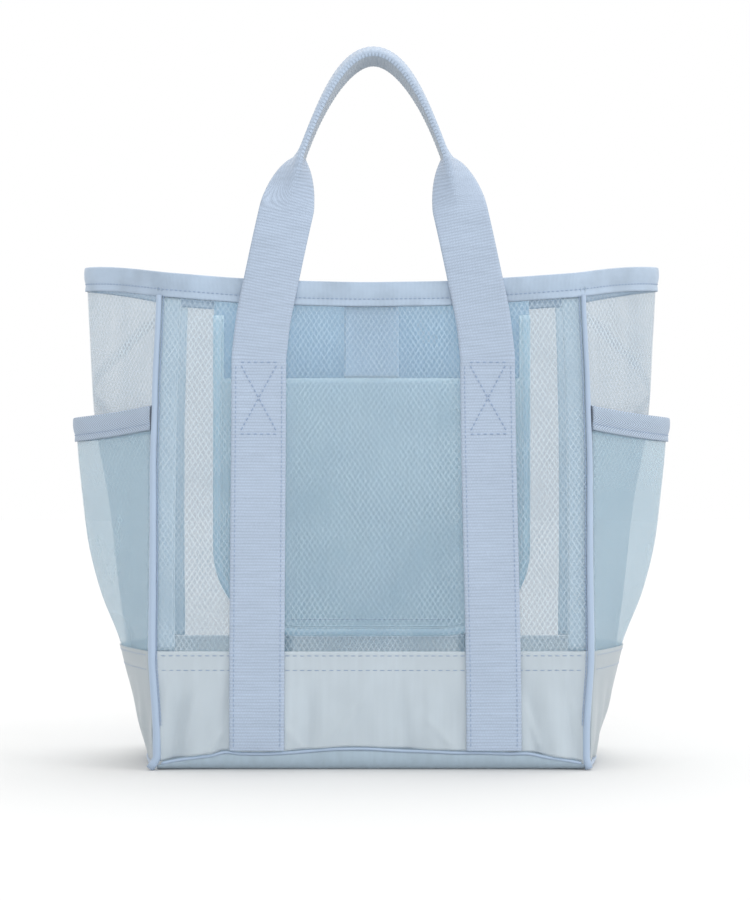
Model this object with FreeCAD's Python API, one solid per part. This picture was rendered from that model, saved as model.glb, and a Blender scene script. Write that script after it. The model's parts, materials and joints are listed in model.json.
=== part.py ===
"""Mesh beach tote with side pockets, an inner pouch and two webbing handles.

Millimetres.  The bag stands on the plane z = 0 with the middle of its base at the origin,
its front panel facing -Y and its side gussets facing -X and +X.
Every piece of cloth is a thin closed solid laid on a few shared wall surfaces, so that the
layers of a seam stack up without meeting.
"""
import FreeCAD, Part

import math
import os

from FreeCAD import Vector

# ---- driving dimensions ---------------------------------------------------------------

WEBBING_WIDTH = 38.0
WEBBING_THICKNESS = 1.8
MESH_THICKNESS = 0.8
NYLON_THICKNESS = 0.8
TAPE_THICKNESS = 0.9
LAYER_GAP = 0.2

# Half sizes of the shell against height: (height, half size).
CORNER_HALF_WIDTH = [(0, 155), (82, 151), (200, 151), (352, 146.7)]
HALF_DEPTH = [(0, 75), (82, 74), (160, 70), (250, 64), (352, 57.5)]
GUSSET_REACH = [(0, 157), (69, 173.5), (82, 176), (190, 190), (246, 199), (307, 203), (352, 205)]
POCKET_REACH = [(0, 158), (56, 173.5), (82, 180), (120, 194.5), (161, 205), (225, 211.5), (254, 214)]
WALL_CROWN = 2.5
GUSSET_CREASE = 0.20
POCKET_CREASE = 0.45
POCKET_STAND_OFF = 1.6

RIM_HEIGHT_MIDDLE = 338.0
RIM_RISE_TO_CORNER = 7.0
RIM_RISE_OVER_GUSSET = 7.0
BINDING_HEIGHT = 17.0
BINDING_HALF_THICKNESS = 1.8

BAND_TOP = 82.0
MESH_FOOT = 69.0
SEAM_HEIGHT_CORNER = 4.0
SEAM_RISE_MIDDLE = 9.0
POCKET_MOUTH_MIDDLE = 244.0
POCKET_MOUTH_RISE = 8.0
POCKET_BINDING_END = 0.95

CORNER_PIPING_RADIUS = 3.2
BASE_PIPING_RADIUS = 2.2
SEAM_ALLOWANCE = 3.6
FRONT_SEAM_TAPE_WIDTH = 12.0
BACK_SEAM_TAPE_WIDTH = 15.0

BASE_THICKNESS = 1.2
BASE_HALF_LENGTH = 151.5
BASE_HALF_WIDTH = 72.2

# Handle: (half span, height) from the sewn leg up to the arch of the grip.
HANDLE_CENTRE = 1.3
HANDLE_AXIS_HEIGHT = 286.0
HANDLE_FOLD_RADIUS = 2.0
HANDLE_PATH = [(79.4, 286), (76.3, 312), (71.2, 338), (58.8, 396), (50.3, 428)]
GRIP_TOP = 498.7
GRIP_CURVE = 36.0
HANDLE_LEAN = [(286, -64.7), (321, -63.3), (345, -61.2), (420, -50.5), (499, -38.0)]
HANDLE_PINCH = (398.0, 428.0)
GRIP_HALF_ANGLE = 9.0
GRIP_FORWARD = 7.0
HANDLE_HANG_ANGLE = 178.0
LEG_FOOT_CENTRES = {"left": -79.0, "right": 84.5}
LEG_TOP_CENTRES = {"left": HANDLE_CENTRE - 79.4, "right": HANDLE_CENTRE + 79.4}

POUCH_HALF_WIDTH = 117.5
POUCH_FOOT = 83.0
POUCH_CORNER_RADIUS = 65.0
POUCH_MOUTH = 274.0
POUCH_PLANE = 55.0
POUCH_BULGE = 12.0
POUCH_HEM = 8.0
POUCH_PANEL_INSET = 1.4

HANGING_AXIS_HEIGHT = 321.8
TAB_THICKNESS = 3.6
FRONT_TAB_PLANE = -55.6
FRONT_TAB_FOOT = 271.0
BACK_TAB_PLANE = 51.4
BACK_TAB_FOOT = 277.0
SNAP_RADIUS = 7.0
SNAP_THICKNESS = 2.0
SNAP_ABOVE_TAB_FOOT = 12.0

HINGE_GAP = 0.3

# ---- small helpers --------------------------------------------------------------------


def smooth_profile(stations):
    """A curve through the stations with no overshoot between them (monotone cubic)."""
    xs = [s[0] for s in stations]
    ys = [s[1] for s in stations]
    last = len(xs) - 1
    slopes = [(ys[i + 1] - ys[i]) / (xs[i + 1] - xs[i]) for i in range(last)]
    tangents = [slopes[0]]
    for left, right in zip(slopes, slopes[1:]):
        same_way = left * right > 0
        tangents.append(2 * left * right / (left + right) if same_way else 0.0)
    tangents.append(slopes[-1])

    def value(x):
        i = 0
        while i < last - 1 and x > xs[i + 1]:
            i += 1
        span = xs[i + 1] - xs[i]
        t = (x - xs[i]) / span
        if t < 0:
            return ys[i] + tangents[i] * (x - xs[i])
        if t > 1:
            return ys[i + 1] + tangents[i + 1] * (x - xs[i + 1])
        rest = 1 - t
        ends = ys[i] * rest * rest * (1 + 2 * t) + ys[i + 1] * t * t * (3 - 2 * t)
        return ends + span * t * rest * (tangents[i] * rest - tangents[i + 1] * t)

    return value


def smooth_step(x, low, high):
    t = min(max((x - low) / (high - low), 0.0), 1.0)
    return t * t * (3 - 2 * t)


def unit(vector):
    return vector * (1.0 / vector.Length)


def mirror_y(shape):
    return shape.mirror(Vector(0, 0, 0), Vector(0, 1, 0))


def closed_solid(faces):
    """One solid inside the faces, with its skin turned outwards."""
    shell = Part.Shell(faces)
    shell.sewShape()
    solid = Part.Solid(shell)
    if solid.Volume < 0:
        solid.reverse()
    return solid


def sheet(place, rows, columns, lift, thickness):
    """Cloth of even thickness whose inner face lies `lift` outside the surface place(u, v).

    lift is a number, or a function of the point on the surface.
    """
    step = 1e-3
    inner = []
    outer = []
    for i in range(rows):
        inner_row = []
        outer_row = []
        for j in range(columns):
            u = i / (rows - 1)
            v = j / (columns - 1)
            point = place(u, v)
            along_u = place(min(u + step, 1), v) - place(max(u - step, 0), v)
            along_v = place(u, min(v + step, 1)) - place(u, max(v - step, 0))
            normal = unit(along_u.cross(along_v))
            if normal.dot(Vector(point.x, point.y, 0)) < 0:
                normal = normal * -1.0
            low = lift(point) if callable(lift) else lift
            inner_row.append(point + normal * low)
            outer_row.append(point + normal * (low + thickness))
        inner.append(inner_row)
        outer.append(outer_row)
    surfaces = []
    for grid in (inner, outer):
        surface = Part.BSplineSurface()
        surface.interpolate(grid)
        surfaces.append(surface)
    u_low, u_high, v_low, v_high = surfaces[0].bounds()
    faces = [surface.toShape() for surface in surfaces]
    for level in (u_low, u_high):
        faces.append(Part.makeRuledSurface(*[s.uIso(level).toShape() for s in surfaces]))
    for level in (v_low, v_high):
        faces.append(Part.makeRuledSurface(*[s.vIso(level).toShape() for s in surfaces]))
    return closed_solid(faces)


def skin(sections, closed=False):
    """A solid with straight facets between polygon sections, as a ring or with flat ends."""
    pairs = list(zip(sections, sections[1:]))
    if closed:
        pairs.append((sections[-1], sections[0]))
    faces = []
    for near, far in pairs:
        count = len(near)
        for k in range(count):
            n = (k + 1) % count
            near_edge = Part.makeLine(near[k], near[n])
            far_edge = Part.makeLine(far[k], far[n])
            faces.append(Part.makeRuledSurface(near_edge, far_edge))
    if not closed:
        for section in (sections[0], sections[-1]):
            faces.append(Part.Face(Part.makePolygon(section + [section[0]])))
    return closed_solid(faces)


def tube(centres, radius):
    """A round piping through the centres, with flat ends."""
    rings = []
    for i, centre in enumerate(centres):
        ahead = centres[min(i + 1, len(centres) - 1)]
        behind = centres[max(i - 1, 0)]
        circle = Part.Circle(centre, unit(ahead - behind), radius)
        rings.append(Part.Wire(circle.toShape()))
    return Part.makeLoft(rings, True, False)


def channel(edge_points, up_directions, outward, height, half_thickness, closed=False):
    """Binding tape folded over an edge: a U section with its fold on the edge points."""
    inside = half_thickness - TAPE_THICKNESS
    shoulder = 0.6
    outline = [
        (half_thickness, -height), (half_thickness, -shoulder),
        (inside, 0), (-inside, 0),
        (-half_thickness, -shoulder), (-half_thickness, -height),
        (-inside, -height), (-inside, -TAPE_THICKNESS),
        (inside, -TAPE_THICKNESS), (inside, -height),
    ]
    sections = []
    for edge, up, out in zip(edge_points, up_directions, outward):
        sections.append([edge + out * a + up * b for a, b in outline])
    return skin(sections, closed)


# ---- the shell's surfaces -------------------------------------------------------------

corner_half_width = smooth_profile(CORNER_HALF_WIDTH)
half_depth = smooth_profile(HALF_DEPTH)
gusset_reach = smooth_profile(GUSSET_REACH)
pocket_reach = smooth_profile(POCKET_REACH)
handle_lean = smooth_profile(HANDLE_LEAN)


def soft_vee(s, crease):
    """1 at the middle and 0 at s = -1 and 1; a smaller crease makes a sharper fold."""
    edge = math.hypot(1, crease)
    return (edge - math.hypot(s, crease)) / (edge - crease)


def rim_height(across, over_gusset=0.0):
    """Height of the mouth; across is 0 mid-panel and 1 at a corner."""
    return RIM_HEIGHT_MIDDLE + RIM_RISE_TO_CORNER * across ** 2 + RIM_RISE_OVER_GUSSET * over_gusset


def front_wall(x, z):
    share = x / corner_half_width(z)
    crown = WALL_CROWN * (1 - share ** 2) * math.sin(math.pi * min(z / RIM_HEIGHT_MIDDLE, 1))
    return Vector(x, -half_depth(z) - crown, z)


def right_gusset_wall(s, z):
    corner = corner_half_width(z)
    x = corner + (gusset_reach(z) - corner) * soft_vee(s, GUSSET_CREASE)
    return Vector(x, s * half_depth(z), z)


def right_pocket_wall(s, z):
    corner = corner_half_width(z) + POCKET_STAND_OFF
    x = corner + (pocket_reach(z) - corner) * soft_vee(s, POCKET_CREASE)
    return Vector(x, s * half_depth(z), z)


def base_seam_height(across):
    return SEAM_HEIGHT_CORNER + SEAM_RISE_MIDDLE * (1 - across ** 2)


def pocket_mouth_height(s):
    return POCKET_MOUTH_MIDDLE + POCKET_MOUTH_RISE * s ** 2


def panel_patch(bottom, top, margin=SEAM_ALLOWANCE):
    """Front wall between the heights bottom(across) and top(across), inside the corners."""
    def place(u, v):
        across = 2 * u - 1
        z = bottom(across) + v * (top(across) - bottom(across))
        return front_wall(across * (corner_half_width(z) - margin), z)
    return place


def gusset_patch(wall, bottom, top):
    def place(u, v):
        s = (2 * u - 1) * (1 - SEAM_ALLOWANCE * 0.8 / HALF_DEPTH[-1][1])
        z = bottom + v * (top(s) - bottom)
        return wall(s, z)
    return place


# ---- sewn shell -----------------------------------------------------------------------


def make_front_mesh_panel():
    place = panel_patch(lambda a: MESH_FOOT, lambda a: rim_height(a) - 1.3)
    return sheet(place, 15, 17, -MESH_THICKNESS / 2, MESH_THICKNESS)


def make_right_gusset_mesh():
    top = lambda s: rim_height(1, 1 - s ** 2) - 1.3
    place = gusset_patch(right_gusset_wall, MESH_FOOT, top)
    return sheet(place, 41, 17, -MESH_THICKNESS / 2, MESH_THICKNESS)


def make_front_base_band():
    place = panel_patch(lambda a: base_seam_height(a) + BASE_PIPING_RADIUS + 0.4, lambda a: BAND_TOP)
    return sheet(place, 15, 7, MESH_THICKNESS / 2 + LAYER_GAP, NYLON_THICKNESS)


def make_right_base_band():
    bottom = SEAM_HEIGHT_CORNER + BASE_PIPING_RADIUS + 0.4
    place = gusset_patch(right_pocket_wall, bottom, lambda s: BAND_TOP)
    return sheet(place, 33, 7, MESH_THICKNESS / 2 + LAYER_GAP, NYLON_THICKNESS)


def make_base_panel():
    plate = Part.makeBox(2 * BASE_HALF_LENGTH, 2 * BASE_HALF_WIDTH, BASE_THICKNESS,
                         Vector(-BASE_HALF_LENGTH, -BASE_HALF_WIDTH, 0))
    skirt_half_length = BASE_HALF_LENGTH - 4

    def place(u, v):
        across = 2 * u - 1
        top = base_seam_height(across) - BASE_PIPING_RADIUS - 0.3
        foot = Vector(across * skirt_half_length, -BASE_HALF_WIDTH + 0.6, 0.5)
        head = Vector(across * skirt_half_length, -half_depth(top) + 0.3, top)
        return foot + (head - foot) * v

    skirt = sheet(place, 9, 4, -NYLON_THICKNESS / 2, NYLON_THICKNESS)
    return plate.fuse([skirt, mirror_y(skirt)]).removeSplitter()


def make_corner_piping():
    foot = 0.6
    top = rim_height(1) - BINDING_HEIGHT - 0.5
    levels = [foot + (top - foot) * k / 10 for k in range(11)]
    return tube([Vector(corner_half_width(z), -half_depth(z), z) for z in levels], CORNER_PIPING_RADIUS)


def make_front_base_piping():
    half_length = corner_half_width(0) - 2 * CORNER_PIPING_RADIUS
    centres = []
    for k in range(13):
        across = k / 6 - 1
        z = base_seam_height(across)
        centres.append(front_wall(across * half_length, z) + Vector(0, -0.9, 0))
    return tube(centres, BASE_PIPING_RADIUS)


def make_right_base_piping():
    centres = []
    for k in range(13):
        s = (k / 6 - 1) * 0.92
        centres.append(right_pocket_wall(s, SEAM_HEIGHT_CORNER) + Vector(0.9, 0, 0))
    return tube(centres, BASE_PIPING_RADIUS)


def rim_stations():
    """Points round the mouth from the middle of the front, anticlockwise from above."""
    corner_turn = 5.0
    quarter = []
    for k in range(9):
        quarter.append(("panel", k / 8 * (1 - corner_turn / corner_half_width(RIM_HEIGHT_MIDDLE))))
    gusset_steps = 26
    for k in range(gusset_steps + 1):
        s = -(1 - corner_turn / HALF_DEPTH[-1][1]) * (1 - k / gusset_steps)
        quarter.append(("gusset", s))

    def level(kind, where, drop):
        if kind == "panel":
            z = rim_height(where) - drop
            return front_wall(where * corner_half_width(z), z)
        return right_gusset_wall(where, rim_height(1, 1 - where ** 2) - drop)

    tops = [level(kind, where, 0) for kind, where in quarter]
    lows = [level(kind, where, BINDING_HEIGHT) for kind, where in quarter]

    def all_round(points):
        right_back = [Vector(p.x, -p.y, p.z) for p in reversed(points[:-1])]
        right = points + right_back
        left = [Vector(-p.x, p.y, p.z) for p in reversed(right[1:-1])]
        return right + left

    return all_round(tops), all_round(lows)


def make_rim_binding():
    tops, lows = rim_stations()
    count = len(tops)
    ups = []
    outs = []
    for i in range(count):
        up = unit(tops[i] - lows[i])
        along = unit(tops[(i + 1) % count] - tops[i - 1])
        ups.append(up)
        outs.append(unit(along.cross(up)))
    return channel(tops, ups, outs, BINDING_HEIGHT, BINDING_HALF_THICKNESS, closed=True)


def make_seam_tape(width):
    """Tape on the inner face of the front panel, along its right-hand edge."""
    bottom = BAND_TOP + 1

    def place(u, v):
        top = rim_height(1) - BINDING_HEIGHT - 3
        z = bottom + v * (top - bottom)
        x = corner_half_width(z) - SEAM_ALLOWANCE - 0.4 - u * width
        return front_wall(x, z)

    lift = -MESH_THICKNESS / 2 - 2 * LAYER_GAP - TAPE_THICKNESS
    return sheet(place, 4, 9, lift, TAPE_THICKNESS)


def make_right_pocket_mesh():
    place = gusset_patch(right_pocket_wall, MESH_FOOT, lambda s: pocket_mouth_height(s) - 1.3)
    return sheet(place, 33, 15, -MESH_THICKNESS / 2, MESH_THICKNESS)


def make_right_pocket_binding():
    tops = []
    ups = []
    outs = []
    count = 45
    for k in range(count):
        s = POCKET_BINDING_END * (2 * k / (count - 1) - 1)
        z = pocket_mouth_height(s)
        top = right_pocket_wall(s, z)
        low = right_pocket_wall(s, z - BINDING_HEIGHT)
        ahead = right_pocket_wall(s + 0.01, pocket_mouth_height(s + 0.01))
        up = unit(top - low)
        tops.append(top)
        ups.append(up)
        outs.append(unit((ahead - top).cross(up)))
    return channel(tops, ups, outs, BINDING_HEIGHT, BINDING_HALF_THICKNESS)


def make_front_handle_leg(side):
    foot = base_seam_height(LEG_FOOT_CENTRES[side] / BASE_HALF_LENGTH) + BASE_PIPING_RADIUS + 3.0
    top = HANDLE_AXIS_HEIGHT - HINGE_GAP

    def place(u, v):
        z = foot + v * (top - foot)
        share = smooth_step(z, foot, top)
        centre = LEG_FOOT_CENTRES[side] * (1 - share) + LEG_TOP_CENTRES[side] * share
        return front_wall(centre + (u - 0.5) * WEBBING_WIDTH, z)

    on_mesh = MESH_THICKNESS / 2 + LAYER_GAP
    on_band = on_mesh + NYLON_THICKNESS + LAYER_GAP

    def lift(point):
        return on_band + (on_mesh - on_band) * smooth_step(point.z, BAND_TOP + 1, BAND_TOP + 12)

    return sheet(place, 4, 41, lift, WEBBING_THICKNESS)


# ---- handles --------------------------------------------------------------------------


def handle_route():
    """Middle of the webbing from the left fold, over the grip, to the right fold."""
    grip_half_spans = [38, 26, 13]
    half = list(HANDLE_PATH)
    half += [(x, GRIP_TOP - x ** 2 / GRIP_CURVE) for x in grip_half_spans]
    left = [Vector(HANDLE_CENTRE - x, 0, z) for x, z in half]
    right = [Vector(HANDLE_CENTRE + x, 0, z) for x, z in reversed(half)]
    curve = Part.BSplineCurve()
    curve.interpolate(left + [Vector(HANDLE_CENTRE, 0, GRIP_TOP)] + right)
    return curve


def fold_share(z):
    return smooth_step(z, *HANDLE_PINCH)


def webbing_section(z):
    """Half of the webbing's cross-section: flat on the legs, folded backwards at the grip.

    Each corner is (sideways, backwards) from the middle of the front face's crease.
    """
    half_angle = math.radians(90 + (GRIP_HALF_ANGLE - 90) * fold_share(z))
    half_thick = WEBBING_THICKNESS / 2
    along = (math.sin(half_angle), math.cos(half_angle))
    across = (math.cos(half_angle), -math.sin(half_angle))
    crease = 1.0
    reach = WEBBING_WIDTH / 2 - crease
    outer_start = ((half_thick + LAYER_GAP) * across[0] + along[0] * crease + across[0] * half_thick,
                   along[1] * crease + across[1] * half_thick)
    outer_tip = (outer_start[0] + along[0] * reach, outer_start[1] + along[1] * reach)
    inner_tip = (outer_tip[0] - across[0] * WEBBING_THICKNESS,
                 outer_tip[1] - across[1] * WEBBING_THICKNESS)
    return [outer_start, outer_tip, inner_tip]


def make_front_handle():
    curve = handle_route()
    low, high = curve.FirstParameter, curve.LastParameter
    half_thick = WEBBING_THICKNESS / 2
    count = 72
    sections = []
    for k in range(count + 1):
        parameter = low + (high - low) * k / count
        flat = curve.value(parameter)
        tangent = curve.tangent(parameter)[0]
        z = flat.z
        lean_slope = handle_lean(z + 0.5) - handle_lean(z - 0.5)
        centre = Vector(flat.x, handle_lean(z) - GRIP_FORWARD * fold_share(z), z)
        forward = Vector(tangent.x, lean_slope * tangent.z, tangent.z)
        if k in (0, count):
            centre.z = HANDLE_AXIS_HEIGHT + HINGE_GAP
            forward = Vector(0, 0, forward.z)
        sideways = unit(forward.cross(Vector(0, 1, 0)))
        backwards = sideways.cross(unit(forward))
        half = webbing_section(z)
        outline = [(0, -half_thick)] + half + [(0, half_thick)]
        outline += [(-a, b) for a, b in reversed(half)]
        sections.append([centre + sideways * a + backwards * b for a, b in outline])
    return skin(sections)


def make_back_handle(front_handle):
    """The same loop behind the bag, hanging down from its folds."""
    handle = mirror_y(front_handle)
    axis_y = -(HANDLE_LEAN[0][1] - HANDLE_FOLD_RADIUS)
    handle.rotate(Vector(0, axis_y, HANDLE_AXIS_HEIGHT), Vector(-1, 0, 0), HANDLE_HANG_ANGLE)
    return handle


# ---- inner pouch ----------------------------------------------------------------------


def pouch_outline(inset, top):
    """Edges of the pouch's flat shape: straight sides, round lower corners."""
    w = POUCH_HALF_WIDTH - inset
    r = POUCH_CORNER_RADIUS - inset
    foot = POUCH_FOOT + inset
    diagonal = r * math.sqrt(0.5)

    def at(x, z):
        return Vector(x, 0, z)

    edges = [Part.makeLine(at(-w, top), at(-w, foot + r))]
    edges.append(Part.Arc(at(-w, foot + r), at(-w + r - diagonal, foot + r - diagonal),
                          at(-w + r, foot)).toShape())
    edges.append(Part.makeLine(at(-w + r, foot), at(w - r, foot)))
    edges.append(Part.Arc(at(w - r, foot), at(w - r + diagonal, foot + r - diagonal),
                          at(w, foot + r)).toShape())
    edges.append(Part.makeLine(at(w, foot + r), at(w, top)))
    return edges


def make_pouch_back_panel():
    edges = pouch_outline(POUCH_PANEL_INSET, HANGING_AXIS_HEIGHT - HINGE_GAP)
    ends = [edges[-1].Vertexes[-1].Point, edges[0].Vertexes[0].Point]
    edges.append(Part.makeLine(*ends))
    face = Part.Face(Part.Wire(edges))
    face.translate(Vector(0, POUCH_PLANE - NYLON_THICKNESS / 2, 0))
    return face.extrude(Vector(0, NYLON_THICKNESS, 0))


def make_pouch_front_panel():
    inset = POUCH_PANEL_INSET
    foot = POUCH_FOOT + inset
    radius = POUCH_CORNER_RADIUS - inset
    rest_plane = POUCH_PLANE - 1.5 * NYLON_THICKNESS - 2 * LAYER_GAP

    def half_width(z):
        below = max(foot + radius - z, 0)
        return POUCH_HALF_WIDTH - inset - radius + math.sqrt(max(radius ** 2 - below ** 2, 0))

    def place(u, v):
        z = foot + (POUCH_MOUTH - foot) * (1 - math.cos(v * math.pi / 2))
        x = (2 * u - 1) * half_width(z)
        free = max(1 - (x / (half_width(z) - POUCH_HEM - 1)) ** 2, 0)
        open_share = smooth_step(z, foot + POUCH_HEM, POUCH_MOUTH + 40)
        return Vector(x, rest_plane - POUCH_BULGE * free ** 2 * open_share, z)

    # The cloth faces the middle of the bag, so its thickness is laid inwards.
    return sheet(place, 31, 17, 0, NYLON_THICKNESS)


def make_pouch_edge_binding():
    edges = pouch_outline(0, HANGING_AXIS_HEIGHT - HINGE_GAP)
    inside_low = POUCH_PLANE - 1.5 * NYLON_THICKNESS - 4 * LAYER_GAP
    inside_high = POUCH_PLANE + NYLON_THICKNESS / 2 + 2 * LAYER_GAP
    outline = [
        (0, inside_low - TAPE_THICKNESS), (POUCH_HEM, inside_low - TAPE_THICKNESS),
        (POUCH_HEM, inside_low), (0.8, inside_low),
        (0.8, inside_high), (POUCH_HEM, inside_high),
        (POUCH_HEM, inside_high + TAPE_THICKNESS), (0, inside_high + TAPE_THICKNESS),
    ]
    stations = []
    for edge, pieces in zip(edges, (1, 14, 1, 14, 1)):
        for k in range(pieces):
            stations.append(station_on(edge, k / pieces))
    stations.append(station_on(edges[-1], 1))
    sections = []
    for point, tangent in stations:
        inward = Vector(-tangent.z, 0, tangent.x)
        sections.append([point + inward * a + Vector(0, b, 0) for a, b in outline])
    return skin(sections)


def station_on(edge, share):
    low, high = edge.ParameterRange
    parameter = low + (high - low) * share
    return edge.valueAt(parameter), unit(edge.tangentAt(parameter))


# ---- closure tabs and snap ------------------------------------------------------------


def make_tab(plane, foot):
    """Webbing folded double and sewn flat, with the fold at its foot."""
    top = HANGING_AXIS_HEIGHT - HINGE_GAP
    slab = Part.makeBox(WEBBING_WIDTH, TAB_THICKNESS, top - foot,
                        Vector(-WEBBING_WIDTH / 2, plane - TAB_THICKNESS / 2, foot))
    fold = [edge for edge in slab.Edges
            if edge.BoundBox.ZMax < foot + 0.1 and edge.BoundBox.XLength > WEBBING_WIDTH - 0.1]
    return slab.makeFillet(TAB_THICKNESS / 2 - 0.1, fold)


def make_front_snap():
    """Socket half: a disc with a shallow well in its face."""
    centre = Vector(0, FRONT_TAB_PLANE + TAB_THICKNESS / 2, FRONT_TAB_FOOT + SNAP_ABOVE_TAB_FOOT)
    inward = Vector(0, 1, 0)
    disc = Part.makeCylinder(SNAP_RADIUS, SNAP_THICKNESS, centre, inward)
    well = Part.makeCylinder(2.6, SNAP_THICKNESS, centre + inward * (SNAP_THICKNESS - 1.2), inward)
    return disc.cut(well)


def make_back_snap():
    """Stud half: a disc with a low boss."""
    centre = Vector(0, BACK_TAB_PLANE - TAB_THICKNESS / 2, BACK_TAB_FOOT + SNAP_ABOVE_TAB_FOOT)
    inward = Vector(0, -1, 0)
    disc = Part.makeCylinder(SNAP_RADIUS, SNAP_THICKNESS, centre, inward)
    boss = Part.makeCylinder(2.4, SNAP_THICKNESS + 1.0, centre, inward)
    return disc.fuse(boss).removeSplitter()


# ---- assembly -------------------------------------------------------------------------


def mirror_x(shape):
    return shape.mirror(Vector(0, 0, 0), Vector(1, 0, 0))


def all_parts():
    parts = {}
    for name, shape in (("mesh_panel", make_front_mesh_panel()),
                        ("base_band", make_front_base_band()),
                        ("base_piping", make_front_base_piping())):
        parts["front_" + name] = shape
        parts["back_" + name] = mirror_y(shape)
    for name, shape in (("gusset_mesh", make_right_gusset_mesh()),
                        ("base_band", make_right_base_band()),
                        ("base_piping", make_right_base_piping()),
                        ("pocket_mesh", make_right_pocket_mesh()),
                        ("pocket_binding", make_right_pocket_binding())):
        parts["right_" + name] = shape
        parts["left_" + name] = mirror_x(shape)
    piping = make_corner_piping()
    parts["front_right_corner_piping"] = piping
    parts["front_left_corner_piping"] = mirror_x(piping)
    parts["back_right_corner_piping"] = mirror_y(piping)
    parts["back_left_corner_piping"] = mirror_y(mirror_x(piping))
    front_tape = make_seam_tape(FRONT_SEAM_TAPE_WIDTH)
    back_tape = mirror_y(make_seam_tape(BACK_SEAM_TAPE_WIDTH))
    parts["front_right_seam_tape"] = front_tape
    parts["front_left_seam_tape"] = mirror_x(front_tape)
    parts["back_right_seam_tape"] = back_tape
    parts["back_left_seam_tape"] = mirror_x(back_tape)
    for side in ("left", "right"):
        leg = make_front_handle_leg(side)
        parts["front_" + side + "_handle_leg"] = leg
        parts["back_" + side + "_handle_leg"] = mirror_y(leg)
    parts["base_panel"] = make_base_panel()
    parts["rim_binding"] = make_rim_binding()
    parts["front_handle"] = make_front_handle()
    parts["back_handle"] = make_back_handle(parts["front_handle"])
    parts["pouch_back_panel"] = make_pouch_back_panel()
    parts["pouch_front_panel"] = make_pouch_front_panel()
    parts["pouch_edge_binding"] = make_pouch_edge_binding()
    parts["front_closure_tab"] = make_tab(FRONT_TAB_PLANE, FRONT_TAB_FOOT)
    parts["back_closure_tab"] = make_tab(BACK_TAB_PLANE, BACK_TAB_FOOT)
    parts["front_snap"] = make_front_snap()
    parts["back_snap"] = make_back_snap()
    return parts


os.makedirs("parts", exist_ok=True)
for node, shape in all_parts().items():
    shape.exportStep("parts/" + node + ".step")
    box = shape.BoundBox
    size = "%.1f x %.1f x %.1f" % (box.XLength, box.YLength, box.ZLength)
    print(node, "valid" if shape.isValid() else "INVALID", "%.0f mm3" % shape.Volume, size,
          len(shape.Solids), "solids")
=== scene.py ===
"""The looks of a translucent mesh beach tote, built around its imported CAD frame.

Shapes are worked out in millimetres and go to metres where a mesh is made.  The walls are the
CAD model's, but narrower at the foot.  The bag stands on z = 0 and its front faces -Y.
"""
import json
import math

import bpy
import numpy as np
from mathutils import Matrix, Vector, noise


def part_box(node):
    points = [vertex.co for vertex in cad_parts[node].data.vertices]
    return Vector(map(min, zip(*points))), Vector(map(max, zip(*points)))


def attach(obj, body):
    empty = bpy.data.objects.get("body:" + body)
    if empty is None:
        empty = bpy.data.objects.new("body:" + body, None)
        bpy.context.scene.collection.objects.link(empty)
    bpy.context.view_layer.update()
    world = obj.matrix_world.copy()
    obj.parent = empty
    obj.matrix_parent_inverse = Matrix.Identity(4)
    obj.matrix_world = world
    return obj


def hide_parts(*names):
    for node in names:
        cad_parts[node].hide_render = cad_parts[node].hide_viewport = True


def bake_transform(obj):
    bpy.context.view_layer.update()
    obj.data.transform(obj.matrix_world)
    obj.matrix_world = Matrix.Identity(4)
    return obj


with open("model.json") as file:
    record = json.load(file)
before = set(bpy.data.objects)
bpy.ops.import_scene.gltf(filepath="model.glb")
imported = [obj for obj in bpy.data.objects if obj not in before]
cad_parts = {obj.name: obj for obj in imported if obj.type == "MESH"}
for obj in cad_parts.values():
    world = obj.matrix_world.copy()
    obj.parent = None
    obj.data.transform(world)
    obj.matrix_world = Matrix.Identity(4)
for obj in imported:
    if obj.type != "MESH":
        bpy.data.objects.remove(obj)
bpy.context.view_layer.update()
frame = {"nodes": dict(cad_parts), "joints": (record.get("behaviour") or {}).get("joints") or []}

METRE = 0.001

# ---- driving dimensions, in millimetres ---------------------------------------------------


def node_box(node):
    low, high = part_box(node)
    return np.array(low) / METRE, np.array(high) / METRE


def joint_point(name):
    joint = next(j for j in frame["joints"] if j["name"] == name)
    return np.array(joint["pos_m"]) / METRE


# Stations up the bag: the height, and how far the corners, walls and sides are from its middle.
CORNER_HALF_WIDTH = [(0, 148), (22, 148), (82, 151), (200, 151), (352, 146.7)]
HALF_DEPTH = [(0, 75), (82, 74), (160, 70), (250, 64), (352, 57.5)]
GUSSET_REACH = [(0, 157), (69, 173.5), (82, 176), (190, 190), (246, 199), (307, 203), (352, 205)]
POCKET_REACH = [(0, 158), (56, 173.5), (82, 180), (120, 194.5), (161, 205), (225, 211.5), (254, 214)]
WALL_CROWN = 2.5
CREASE_HALF_WIDTH = 2.2
POCKET_STAND_OFF = 1.6
GUSSET_CREASE = 0.20
POCKET_CREASE = 0.45

BAND_TOP = node_box("front_base_band")[1][2]
MESH_FOOT = node_box("front_mesh_panel")[0][2]
RIM_MIDDLE = 338.0
RIM_RISE_TO_CORNER = 7.0
RIM_RISE_OVER_GUSSET = node_box("rim_binding")[1][2] - RIM_MIDDLE - RIM_RISE_TO_CORNER
RIM_HALF_WIDTH = 147.0
RIM_HALF_DEPTH = 58.0
BINDING_HEIGHT = 17.0
POCKET_MOUTH_MIDDLE = 244.0
POCKET_MOUTH_RISE = 8.0
BASE_SEAM_CORNER = 4.0
BASE_SEAM_RISE = 9.0
BASE_SEAM_STEEPNESS = 3.4
BASE_SEAM_HALF_LENGTH = 152
BASE_SEAM_PUCKERS = [(-104, 7, 1.8), (-72, 20, -1.2), (-12, 26, 1.6), (60, 25, -0.8), (112, 9, 1.2)]

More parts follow.
